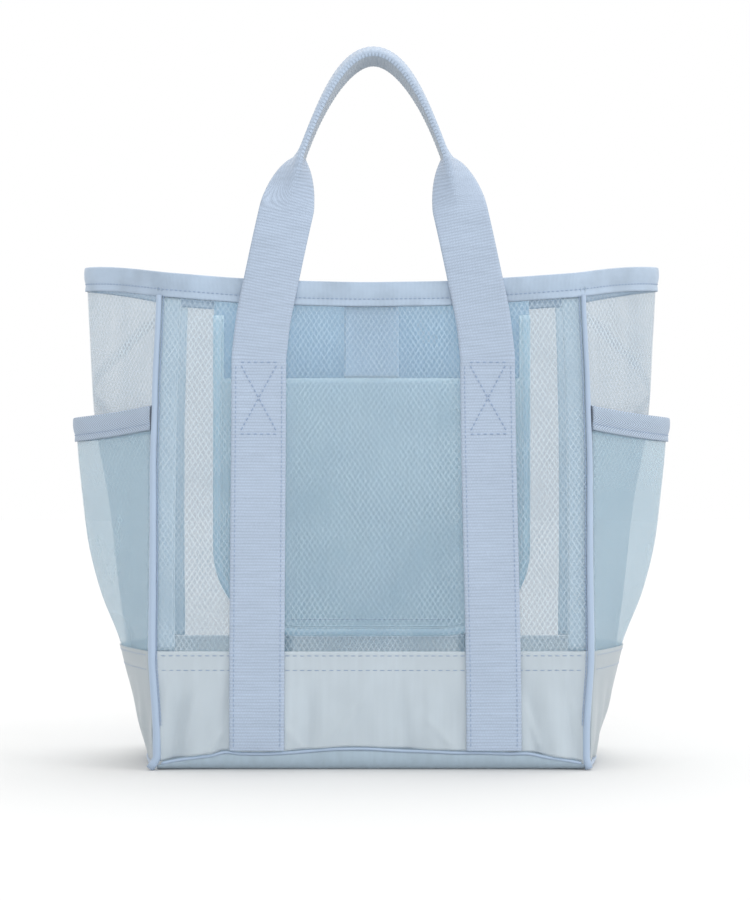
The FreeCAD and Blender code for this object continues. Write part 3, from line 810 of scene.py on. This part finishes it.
def gusset_relief(x, y, z):
    """Soft pleats that fall from the rim, and a diagonal crease on each half."""
    fall = smooth_step(z, 90, 200)
    pleat = 0.8 * ripple(0, y, z * 0.35, 16.0, 1.3 if x > 0 else 5.9)
    slack = pleat + 0.7 * ripple(x, y, z, 55.0, 2.2)
    pull = sum(crease(y, z, *ends) for ends in GUSSET_CREASES)
    return slack * fall * smooth_step(RIM_MIDDLE - z, -4, 40) + (pull if x < 0 else 0.6 * pull)


def make_gussets():
    for side, sign in SIDES:
        def place(u, v):
            s = side_share(u)
            top = rim_height(1, 1 - s ** 2) - UNDER_FOLD
            return gusset_wall(s, MESH_FOOT + v * (top - MESH_FOOT), sign)
        stretched_cloth(side + "_gusset_mesh", (0.160, 0.280), ["rim_binding_tape"], "mesh",
                        place, 56, 60, GUSSET_MESH, *SHEER, gusset_relief)


BAND_CREASES = [(-103.8, 26, -112, 12, 1.3), (-122, 54, -131, 10, 1.4), (-7, 50, -26, 22, 1.1),
                (106, 44, 118, 12, 1.3), (-60, 30, -46, 14, 0.9), (40, 34, 58, 14, 1.0),
                (136, 60, 143, 14, 1.0), (-140, 70, -143, 20, 0.8)]
BAND_FOLDS = [(-132, 5.5, -3.2), (-118, 8.0, 1.6), (-101, 4.5, -1.8), (-45, 6.0, -2.2), (-30, 9.0, 1.5),
              (22, 7.0, -2.0), (44, 8.0, 1.4), (110, 5.0, -2.6), (124, 7.0, 1.5), (138, 5.0, -2.0)]


def band_relief(x, y, z):
    """Upright folds and creases that run up from the base seam, flat under the handle legs."""
    low = smooth_step(BAND_TOP - z, 8, 50)
    lean = x + 0.12 * (z - 40) * (1 if x > 0 else -1)
    folds = sum(depth * bump(lean, centre, width) for centre, width, depth in BAND_FOLDS)
    creases = 1.6 * ripple(x * 1.4, y, z * 0.45, 17.0, 4.4) + 1.6 * ripple(x, y, z, 34.0, 8.1)
    height = (creases + folds) * low + 1.5 * sum(crease(x, z, *ends) for ends in BAND_CREASES)
    beside_leg = smooth_step(min(abs(x - foot) for foot in LEG_FOOT.values()), 17, 25)
    return min(height, 0.4 + 3.0 * beside_leg)


def make_base_bands():
    for side, facing in WALLS:
        def place(u, v):
            across = 2 * u - 1
            foot = base_seam_height(across) + UNDER_FOLD
            return wall_between(across, foot + v * (BAND_TOP - foot), facing)
        stretched_cloth(side + "_base_band", (0.303, 0.076), ["base_panel_cloth"], "base_nylon",
                        place, 150, 44, BAND_NYLON, *NYLON, band_relief, lining=BAND_INSIDE_LIGHTENED)
    for side, sign in SIDES:
        def place(u, v):
            foot = BASE_SEAM_CORNER + UNDER_FOLD
            return pocket_wall(side_share(u), foot + v * (BAND_TOP - foot), sign)
        stretched_cloth(side + "_base_band", (0.152, 0.080), ["base_panel_cloth"], "base_nylon",
                        place, 60, 34, SIDE_NYLON_SHADED, *NYLON, band_relief, lining=BAND_INSIDE_LIGHTENED)


def make_base_panel():
    """The bottom, turned up at front and back to the base seam in a soft roll."""
    half_length = corner_half_width(0)
    roll = 8.0
    flat_share = 0.72

    def place(u, v):
        across = 2 * u - 1
        seam = base_seam_height(across) - 1.2
        depth = half_depth(seam) + 0.4
        around = 2 * v - 1
        edge = abs(around)
        if edge < flat_share:
            y, z = edge / flat_share * (depth - roll), 0.0
        else:
            t = (edge - flat_share) / (1 - flat_share)
            turn = t * math.pi / 2
            y = depth - roll + roll * math.sin(turn)
            z = seam * (1 - math.cos(turn)) * 0.75 + seam * 0.25 * t
        z += 0.5 * (1 + ripple(across * half_length, y, 0, 22.0, 6.3)) * smooth_step(edge, 0.8, 1.0)
        return (across * half_length, math.copysign(y, around), z)

    stretched_cloth("base_panel", (0.306, 0.166), [], "base_nylon",
                    place, 90, 80, BASE_NYLON, 0.0, 0.7, outward=(0, 0, 1))


def make_corner_piping(front, facing, side, sign, stout, kick):
    """One corner seam, from the ground to the rim; its foot is pushed out by `kick`."""
    top = rim_height(1) - BINDING_HEIGHT + 1.0
    centres = []
    radii = []
    for z in np.linspace(1.2, top, 90):
        sway = 0.5 * ripple(sign * 9.0, facing * 5.0, z, 45.0, 2.7)
        out = 0.4 + sway + kick * (1 - smooth_step(z, 0, 9))
        centres.append((sign * (corner_half_width(z) + out), facing * half_depth(z), z))
        radii.append(stout - 0.9 * smooth_step(z, 60, top) + 0.15 * ripple(sign, facing, z, 9.0))
    piping(front + "_" + side + "_corner_piping", centres, radii)
    seam = [(x - sign * 3.2, y + facing * (1.2 + 0.9 * (z < BAND_TOP)), z) for x, y, z in centres[8:]]
    spots = stitch_row(seam, [(0, facing, 0)] * len(seam), 2.6)
    stitches(front + "_" + side + "_corner_stitching", spots, 2.5, 0.36)


def make_pipings():
    for front, facing in WALLS:
        make_corner_piping(front, facing, "left", -1, 2.9, 5.0)
        make_corner_piping(front, facing, "right", 1, 2.6, 2.0)
    for side, facing in WALLS:
        centres = []
        for across in 0.985 * np.linspace(-1, 1, 121):
            z = base_seam_height(across)
            x, y, z = wall(across * (corner_half_width(z) - 1.0), z, facing)
            centres.append((x, y + facing * 0.7, z + 0.3 * ripple(x, y, z, 18.0)))
        piping(side + "_base_piping", centres, 0.95)
    for side, sign in reversed(SIDES):
        line = [pocket_wall(s, BASE_SEAM_CORNER, sign) for s in 0.97 * np.linspace(-1, 1, 61)]
        piping(side + "_base_piping", [(x + sign * 0.6, y, z - 1.0) for x, y, z in line], 1.6)


def make_seam_tapes():
    for (front, facing), width in zip(WALLS, SEAM_TAPE_WIDTHS):
        for side, sign in reversed(SIDES):
            def place(u, v):
                z = BAND_TOP + 0.5 + v * (rim_height(1) - BINDING_HEIGHT - BAND_TOP)
                inner = width * (1 + 0.05 * ripple(sign, facing, z, 40.0, 3.3))
                return wall(sign * (corner_half_width(z) - 1.0 - u * inner), z, facing)
            stretched_cloth(front + "_" + side + "_seam_tape", (width * METRE, 0.246),
                            [front + "_mesh_panel_cloth"], "binding_tape",
                            place, 8, 60, SEAM_NYLON, *INSIDE_TAPE)


def rim_lines():
    """Points on the mouth's edge and one binding height below it, once round the bag."""
    turn = 4.5  # how far from each corner the rim starts to turn
    lines = []
    for drop in (0.0, BINDING_HEIGHT):
        first = []
        for across in np.linspace(0, 1 - turn / RIM_HALF_WIDTH, 25):
            z = rim_height(across) - drop
            first.append(wall(across * corner_half_width(z), z))
        for s in np.linspace(turn / RIM_HALF_DEPTH - 1, 0, 41):
            first.append(gusset_wall(s, rim_height(1, 1 - s ** 2) - drop))
        right = first + [(x, -y, z) for x, y, z in reversed(first[:-1])]
        ring = right + [(-x, y, z) for x, y, z in reversed(right[1:-1])]
        lines.append(np.array(ring))
    return lines


def ring_outward(edge, low, closed=True):
    ahead = np.roll(edge, -1, axis=0) if closed else np.concatenate([edge[1:], edge[-1:]])
    behind = np.roll(edge, 1, axis=0) if closed else np.concatenate([edge[:1], edge[:-1]])
    return unit(np.cross(unit(ahead - behind), unit(edge - low)))


def make_rim():
    edge, low = rim_lines()
    outward = ring_outward(edge, low)
    waver = np.array([0.7 * ripple(x, y, 0, 38.0, 4.0) for x, y in edge[:, :2]])
    edge = edge + outward * waver[:, None] * 0.4
    edge[:, 2] += 0.4 * waver
    piece = folded_tape("rim_binding_tape", edge, low, outward, BINDING, True, BINDING_HEIGHT, 0.5)
    finish_piece(piece, ["rim_binding"])
    line = edge - unit(edge - low) * (BINDING_HEIGHT - 5.0)
    line, outward = [np.concatenate([rows, rows[:1]]) for rows in (line, outward)]
    for face, sign in (("outer", 1), ("inner", -1)):
        spots = stitch_row(line + sign * outward * THREAD_OUT, outward * sign, 3.2)
        stitches("rim_stitching_" + face, spots, 2.3, 0.34)


def make_pockets():
    def mouth(s):
        return POCKET_MOUTH_MIDDLE + POCKET_MOUTH_RISE * s ** 2

    def relief(x, y, z):
        slack = 1.1 * ripple(0, y, z, 42.0, 6.6) + 0.5 * ripple(0, y, z * 0.4, 15.0, 1.9)
        free = smooth_step(z, 90, 130) * smooth_step(POCKET_MOUTH_MIDDLE - z, 0, 30)
        return max(slack, -0.6) * free

    for side, sign in SIDES:
        def place(u, v):
            s = side_share(u)
            return pocket_wall(s, MESH_FOOT + v * (mouth(s) - UNDER_FOLD - MESH_FOOT), sign)
        stretched_cloth(side + "_pocket_mesh", (0.168, 0.180), [side + "_base_band_cloth"], "mesh",
                        place, 50, 50, POCKET_MESH, *SHEER, relief)
        shares = 0.99 * np.linspace(-1, 1, 81)
        edge, low = [np.array([pocket_wall(s, mouth(s) - drop, sign) for s in shares])
                     for drop in (0.0, BINDING_HEIGHT)]
        outward = ring_outward(edge, low, closed=False) * sign
        node = side + "_pocket_binding"
        piece = folded_tape(node + "_tape", edge, low, outward, HERRINGBONE, False, BINDING_HEIGHT, 0.5)
        finish_piece(piece, [node])
        line = edge - unit(edge - low) * (BINDING_HEIGHT - 4.5)
        spots = stitch_row(line + outward * THREAD_OUT, outward, 3.0)
        spots += stitch_row(line - outward * THREAD_OUT, -outward, 3.0)
        stitches(side + "_pocket_stitching", spots, 2.1, 0.32)


def make_band_stitching():
    spots = []
    for z in (BAND_TOP - 3.0, BAND_TOP - 13.0):
        for facing in (-1, 1):
            xs = np.linspace(-1, 1, 60) * (corner_half_width(z) - 5)
            line = np.array([wall(x, z, facing) for x in xs])
            out = np.array([(0.0, facing, 0.0)] * len(line))
            spots += stitch_row(line + out * BAND_THREAD_OUT, out, 5.0)
        for sign in (-1, 1):
            line = np.array([pocket_wall(s, z, sign) for s in np.linspace(-0.93, 0.93, 50)])
            tangent = unit(np.gradient(line, axis=0))
            out = np.cross(tangent, (0, 0, 1.0))
            out = np.where(np.sum(out * [sign, 0, 0], axis=1, keepdims=True) < 0, -out, out)
            spots += stitch_row(line + out * BAND_THREAD_OUT, out, 5.0)
    stitches("band_stitching", spots, 3.4, 0.3)


make_mesh_panels()
make_gussets()
make_base_bands()
make_base_panel()
make_pipings()
make_seam_tapes()
make_rim()
make_pockets()
make_band_stitching()

# ---- handles ------------------------------------------------------------------------------


def webbing_lift(z):
    """How far the middle of a sewn leg's webbing stands outside the wall."""
    return 1.7 + 0.9 * (1 - smooth_step(z, BAND_TOP + 1, BAND_TOP + 12))


def upright_route():
    """Middle line of the front webbing, from the left base seam over the grip to the right."""
    axis_height = HANDLE_AXIS[2]

    def point(sign, z):
        side = "left" if sign < 0 else "right"
        if z < axis_height:
            foot = base_seam_height(LEG_FOOT[side] / BASE_SEAM_HALF_LENGTH) + 2.0
            top = HANDLE_CENTRE + sign * handle_half_span(axis_height)
            share = smooth_step(z, foot, axis_height)
            x = LEG_FOOT[side] * (1 - share) + top * share
            y = wall(x, z)[1] - webbing_lift(z)
            blend = smooth_step(z, axis_height - 30, axis_height)
            return (x, y * (1 - blend) + min(y, handle_lean(axis_height)) * blend, z)
        return (HANDLE_CENTRE + sign * handle_half_span(z), handle_lean(z), z)

    foot = base_seam_height(0.55) + 2.0
    left = [point(-1, z) for z in np.linspace(foot, HANDLE_PATH[-1][0], 400)]
    right = [point(1, z) for z in np.linspace(HANDLE_PATH[-1][0], foot, 400)]
    span = HANDLE_PATH[-1][1]
    arch = []
    for x in np.linspace(-span, span, 200)[1:-1]:
        z = GRIP_TOP - x ** 2 / GRIP_CURVE
        arch.append((HANDLE_CENTRE + x, handle_lean(z), z))
    return np.array(left + arch + right)


def fold_share(z):
    return smooth_step(z, *HANDLE_PINCH)


def even_step(z, low, high):
    """From 0 to 1 at an even rate, with softened ends."""
    share = min(max((z - low) / (high - low), 0.0), 1.0)
    return 0.4 * share + 0.6 * smooth_step(z, low, high)


def outer_fold(z):
    """Share of the outer half's fold; the inner half folds a little sooner."""
    return even_step(z, 386, 435)


def inner_fold(z):
    return even_step(z, 383, 430)


def closed_angle(z):
    """How far each half of the webbing is folded back: shut at the neck, and open at the crest."""
    opening = (GRIP_HALF_ANGLE - GRIP_NECK_ANGLE) * max((z - HANDLE_PINCH[1]) / GRIP_RISE, 0) ** 2.2
    return math.radians(90 - GRIP_NECK_ANGLE - opening)


def strap_sections(route, step):
    """Even stations along a route: centre, sideways, backwards, fold share and run."""
    run = run_of(route)
    here = np.linspace(0, run[-1], int(run[-1] / step) + 1)
    centre = at_run(here, run, route)
    window = np.ones(9) / 9
    padded = np.pad(centre, ((4, 4), (0, 0)), mode="reflect", reflect_type="odd")
    centre = np.stack([np.convolve(padded[:, axis], window, mode="valid") for axis in range(3)], axis=1)
    folds = np.array([fold_share(z) for z in centre[:, 2]])
    centre[:, 1] -= GRIP_FORWARD * folds
    forward = unit(np.gradient(centre, axis=0))
    sideways = unit(np.cross(forward, (0.0, 1.0, 0.0)))
    backwards = np.cross(sideways, forward)
    return centre, sideways, backwards, folds, here


def strap_mesh(name, sections, keep=None, bend=None):
    """Webbing along the sections: flat, or folded backwards about its middle.

    keep picks sections, and bend moves the points.  The ribs turn to slanted cords on the outer half of
    the fold, and the inner half, which faces down, takes a darker, greyer copy of the webbing as painted
    shade.
    """
    if keep is not None:
        sections = [part[keep] for part in sections]
    centre, sideways, backwards, _, here = sections
    half_columns = 13
    tips = np.linspace(0, 1, half_columns)
    half = WEBBING_WIDTH / 2
    spread = RIB_PITCH / GRIP_CORD_PITCH
    stretch = np.array([1 - (1 - spread) * outer_fold(z) for z in centre[:, 2]])
    weft = np.cumsum(stretch) * (here[1] - here[0])
    points = []
    uvs = []
    for k in range(len(centre)):
        level = centre[k][2]
        front = []
        back = []
        for sign, share in ((-1, inner_fold(level)), (1, outer_fold(level))):
            slant = GRIP_CORD_SLANT * share * half * spread if sign > 0 else 0.0
            height = RIB_HEIGHT * (1 + 2.2 * share)
            turn = [share * closed_angle(level) * smooth_step(t, -0.02, 0.12) for t in tips]
            xs, bs = [0.0], [0.0]
            for a, b in zip(turn, turn[1:]):
                xs.append(xs[-1] + half / (half_columns - 1) * math.cos((a + b) / 2))
                bs.append(bs[-1] + half / (half_columns - 1) * math.sin((a + b) / 2))
            for j, (x, b, a) in enumerate(zip(xs, bs, turn)):
                if sign < 0 and j == 0:
                    continue
                edge = 1 - 0.55 * smooth_step(tips[j], 0.93, 1.0)
                wander = 0.22 * ripple(centre[k][0] + sign * 19 * tips[j], 0, level, 7.0, 5.0)
                row = weft[k] - slant * tips[j] + wander
                rib = abs(math.cos(math.pi * row / RIB_PITCH)) - 0.5
                t = (WEBBING_THICKNESS / 2 + height * rib) * edge
                out = (sign * math.sin(a), -math.cos(a))
                front.append((sign * tips[j], sign * x + out[0] * t, b + out[1] * t, row))
                back.append((sign * tips[j], sign * x - out[0] * t * 0.9, b - out[1] * t * 0.9, row))
        front.sort()
        back.sort(reverse=True)
        for share, x, b, row in front + back:
            points.append(centre[k] + sideways[k] * x + backwards[k] * b)
            uvs.append((share * half, row))
    ring = 2 * (2 * half_columns - 1)
    points = np.array(points)
    folded_in = centre[:, 2] > HANDLE_PINCH[1] - 3
    if bend is not None:
        points = bend(points)
    piece = make_piece(name, points, ring_faces(len(centre), ring), WEBBING, uvs)
    piece.data.materials.append(WEBBING_PAINTED_SHADE)
    piece.data.materials.append(WEBBING_CORDS)
    for polygon in piece.data.polygons:
        k, j = divmod(min(polygon.vertices), ring)
        # Painted shade: the inner half of the folded grip takes the darker webbing copy, and the outer
        # half takes the cords.
        if folded_in[k] and j < 2 * half_columns - 1:
            polygon.material_index = 1 if j < half_columns - 2 else 2
    return piece


def fold_down(points):
    """Turns the free webbing of the back handle down about its fold, as it hangs."""
    half_fold = HANDLE_FOLD_LENGTH / 2
    y = points[:, 1] + HANDLE_AXIS[1]
    z = points[:, 2] - HANDLE_AXIS[2]
    within = np.clip(z, -half_fold, half_fold)
    straight = np.where(z > half_fold, z, z - within)
    angle = HANDLE_HANG * (within + half_fold) / HANDLE_FOLD_LENGTH
    out = points.copy()
    out[:, 1] = y * np.cos(angle) + straight * np.sin(angle) - HANDLE_AXIS[1]
    out[:, 2] = straight * np.cos(angle) - y * np.sin(angle) + HANDLE_AXIS[2]
    return out


def bend_between(piece, nodes):
    """Hides the CAD nodes that a piece stands for and bakes its placement into its points; it follows no
    body.
    """
    finish_piece(piece, nodes, None)
    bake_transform(piece)


def make_handles():
    sections = strap_sections(upright_route(), RIB_PITCH / 6)
    half_fold = HANDLE_FOLD_LENGTH / 2
    axis_y, axis_z = HANDLE_AXIS[1:]
    front = strap_mesh("front_handle_webbing", sections)
    nodes = ["front_handle", "front_left_handle_leg", "front_right_handle_leg"]
    bend_between(front, nodes)

    mirrored = [part * (1, -1, 1) for part in sections[:3]] + list(sections[3:])
    centre = sections[0]
    high = centre[:, 2] >= axis_z - half_fold
    for side, mine in (("left", centre[:, 0] < 0), ("right", centre[:, 0] > 0)):
        leg = strap_mesh("back_" + side + "_leg_webbing", mirrored, ~high & mine)
        finish_piece(leg, ["back_" + side + "_handle_leg"])
    loop = strap_mesh("back_handle_webbing", mirrored, high, fold_down)
    bend_between(loop, ["back_handle"])
    return sections


def leg_frame(sections, z, sign):
    """Centre, sideways and outward of a front leg at a height."""
    centre, sideways, backwards = sections[:3]
    mine = np.flatnonzero(centre[:, 0] * sign > 0)
    k = mine[np.argmin(np.abs(centre[mine, 2] - z))]
    across = sideways[k] if sideways[k][0] > 0 else -sideways[k]
    return centre[k], across, -backwards[k]


BOX_TOP = 282.0
BOX_FOOT = 232.0
BOX_HALF_WIDTH = 12.5
EDGE_STITCHING = 16.0


def make_leg_stitching(sections):
    """A row along both edges of each leg, and a crossed box where the legs' stitching ends."""
    middle = (BOX_TOP + BOX_FOOT) / 2
    reach = (BOX_TOP - BOX_FOOT - 4) / 2
    for front, flip in (("front", 1), ("back", -1)):
        mirror = np.array([1, flip, 1])
        edge_spots = []
        box_spots = []
        for sign in (-1, 1):
            foot = base_seam_height(0.55) + 4

            def at(x, z):
                centre, across, out = leg_frame(sections, z, sign)
                return (centre + across * x + out * 1.0) * mirror, out * mirror

            for x in (-EDGE_STITCHING, EDGE_STITCHING):
                line = [at(x, z) for z in np.arange(foot, BOX_TOP, 4.0)]
                edge_spots += stitch_row(*zip(*line), 3.4)
            for z in (BOX_FOOT, BOX_TOP):
                line = [at(x, z) for x in np.linspace(-BOX_HALF_WIDTH - 1, BOX_HALF_WIDTH + 1, 7)]
                box_spots += stitch_row(*zip(*line), 4.2)
            for turn in (-1, 1):
                line = [at(turn * t * BOX_HALF_WIDTH, middle + t * reach)
                        for t in np.linspace(-1, 1, 15)]
                box_spots += stitch_row(*zip(*line), 3.6)
        stitches(front + "_leg_stitching", edge_spots, 2.4, 0.3)
        stitches(front + "_box_stitching", box_spots, 2.6, 0.45)


leg_sections = make_handles()
make_leg_stitching(leg_sections)

# ---- inner pouch and closure tabs ---------------------------------------------------------


OUT = (0.0, -1.0, 0.0)
POUCH_INSET = 0.6
POUCH_BELLY = 11.0
POUCH_TAPE = 8.0


def pouch_half_width(z, inset):
    radius = POUCH_CORNER - inset
    below = max(POUCH_FOOT + inset + radius - z, 0.0)
    return POUCH_HALF_WIDTH - inset - radius + math.sqrt(max(radius ** 2 - below ** 2, 0.0))


def pouch_relief(x, z):
    """Folds that fall from the sewn top, deepest a little below it."""
    hang = smooth_step(z, 150, 300) * smooth_step(330 - z, 0, 30)
    fan = 3.2 * ripple(x * 1.2, 0, z * 0.5, 34.0, 9.4) + 1.0 * ripple(x, 0, z, 20.0, 2.5)
    return fan * (0.35 + hang)


def slack_share(x, z, margin):
    """1 in the pouch's middle, and 0 from `margin` inside its edge."""
    return max(1 - (x / (pouch_half_width(z, POUCH_INSET) - margin)) ** 2, 0)


def make_pouch():
    foot = POUCH_FOOT + POUCH_INSET

    def level(u, v, top):
        z = foot + (top - foot) * (1 - math.cos(v * math.pi / 2))
        return (2 * u - 1) * pouch_half_width(z, POUCH_INSET), z

    def back_place(u, v):
        x, z = level(u, v, POUCH_TOP)
        return (x, POUCH_PLANE, z)

    def back_relief(x, y, z):
        return min(pouch_relief(x, z), 1.0) * slack_share(x, z, 8)

    back = cloth("pouch_back_cloth", back_place, 70, 90, POUCH_BACK_NYLON_SHADED, -0.3, 0.5, back_relief, OUT)
    bend_between(back, ["pouch_back_panel"])

    def front_place(u, v):
        x, z = level(u, v, POUCH_MOUTH)
        belly = POUCH_BELLY * slack_share(x, z, 9) ** 2 * smooth_step(z, foot + 8, POUCH_MOUTH + 40)
        return (x, POUCH_PLANE - 1.6 - belly, z)

    def front_relief(x, y, z):
        free = slack_share(x, z, 8) * smooth_step(z, 95, 150)
        return max(0.6 * pouch_relief(x, z), -0.8) * free

    front = cloth("pouch_front_cloth", front_place, 70, 70, POUCH_FRONT_NYLON_LIT, -0.2, 0.5,
                  front_relief, OUT)
    finish_piece(front, ["pouch_front_panel"], "pouch")

    centre_x, centre_z = POUCH_CORNER - POUCH_HALF_WIDTH, POUCH_FOOT + POUCH_CORNER
    left = [(-POUCH_HALF_WIDTH, z) for z in np.linspace(HANGING_AXIS - 1, centre_z, 40)]
    for a in np.radians(np.linspace(180, 270, 25))[1:]:
        left.append((centre_x + POUCH_CORNER * math.cos(a), centre_z + POUCH_CORNER * math.sin(a)))
    outline = left + [(-x, z) for x, z in reversed(left)]
    edge = np.array([(x, POUCH_PLANE - 0.5, z) for x, z in outline])
    inward = np.cross(unit(np.gradient(edge, axis=0)), (0, 1.0, 0))
    away = np.sum(inward * ((0, POUCH_PLANE, 220) - edge), axis=1, keepdims=True) < 0
    low = edge + np.where(away, -inward, inward) * POUCH_TAPE
    # The edge tape takes the front panel's lightened nylon copy, which is painted light.
    binding = folded_tape("pouch_edge_tape", edge, low, np.array([OUT] * len(edge)),
                          POUCH_FRONT_NYLON_LIT, False, POUCH_TAPE, 0.8, 0.5, 2.0)
    finish_piece(binding, ["pouch_edge_binding"], "pouch")
    line = [(x, POUCH_PLANE - 2.4, POUCH_FOOT + 12.5) for x in np.linspace(-60, 60, 30)]
    spots = stitch_row(line, [OUT] * len(line), 3.4)
    stitches("pouch_stitching", spots, 2.4, 0.3, "pouch")


def make_tab(front):
    """Webbing folded double and sewn at its top, with the fold at its foot."""
    name = "front" if front else "back"
    node_low, node_high = node_box(name + "_closure_tab")
    middle = (node_low[1] + node_high[1]) / 2
    foot = node_low[2]
    top = HANGING_AXIS + (11.0 if front else 4.0)
    layers = 0.85  # from the tab's middle to the middle of each layer of webbing
    step = RIB_PITCH / 6
    route = [(middle - layers, z) for z in np.arange(top, foot + layers, -step)]
    turns = np.linspace(0, math.pi, 8)
    route += [(middle - layers * math.cos(a), foot + layers * (1 - math.sin(a)) + 0.9) for a in turns]
    route += [(middle + layers, z) for z in np.arange(foot + layers, top, step)]
    route = np.array([(0.0, y, z) for y, z in route])
    run = run_of(route)
    outward = np.cross(unit(np.gradient(route, axis=0)), (1.0, 0, 0))
    half = WEBBING_WIDTH / 2
    columns = np.linspace(-1, 1, 21) * half
    points = []
    uvs = []
    for sign in (1, -1):
        for k in range(len(route)):
            for x in columns:
                edge = 1 - 0.5 * smooth_step(abs(x), half - 1.5, half)
                points.append(route[k] + (x, 0, 0) + sign * outward[k] * 0.8 * edge)
                uvs.append((x + half, run[k]))
    faces = layer_faces(len(route), len(columns))
    piece = make_piece(name + "_tab_webbing", points, faces, TAB_SATIN, uvs)
    bend_between(piece, [name + "_closure_tab"])
    snap = frame["nodes"][name + "_snap"]
    snap.data.materials.clear()
    snap.data.materials.append(METAL)


make_pouch()
make_tab(True)
make_tab(False)
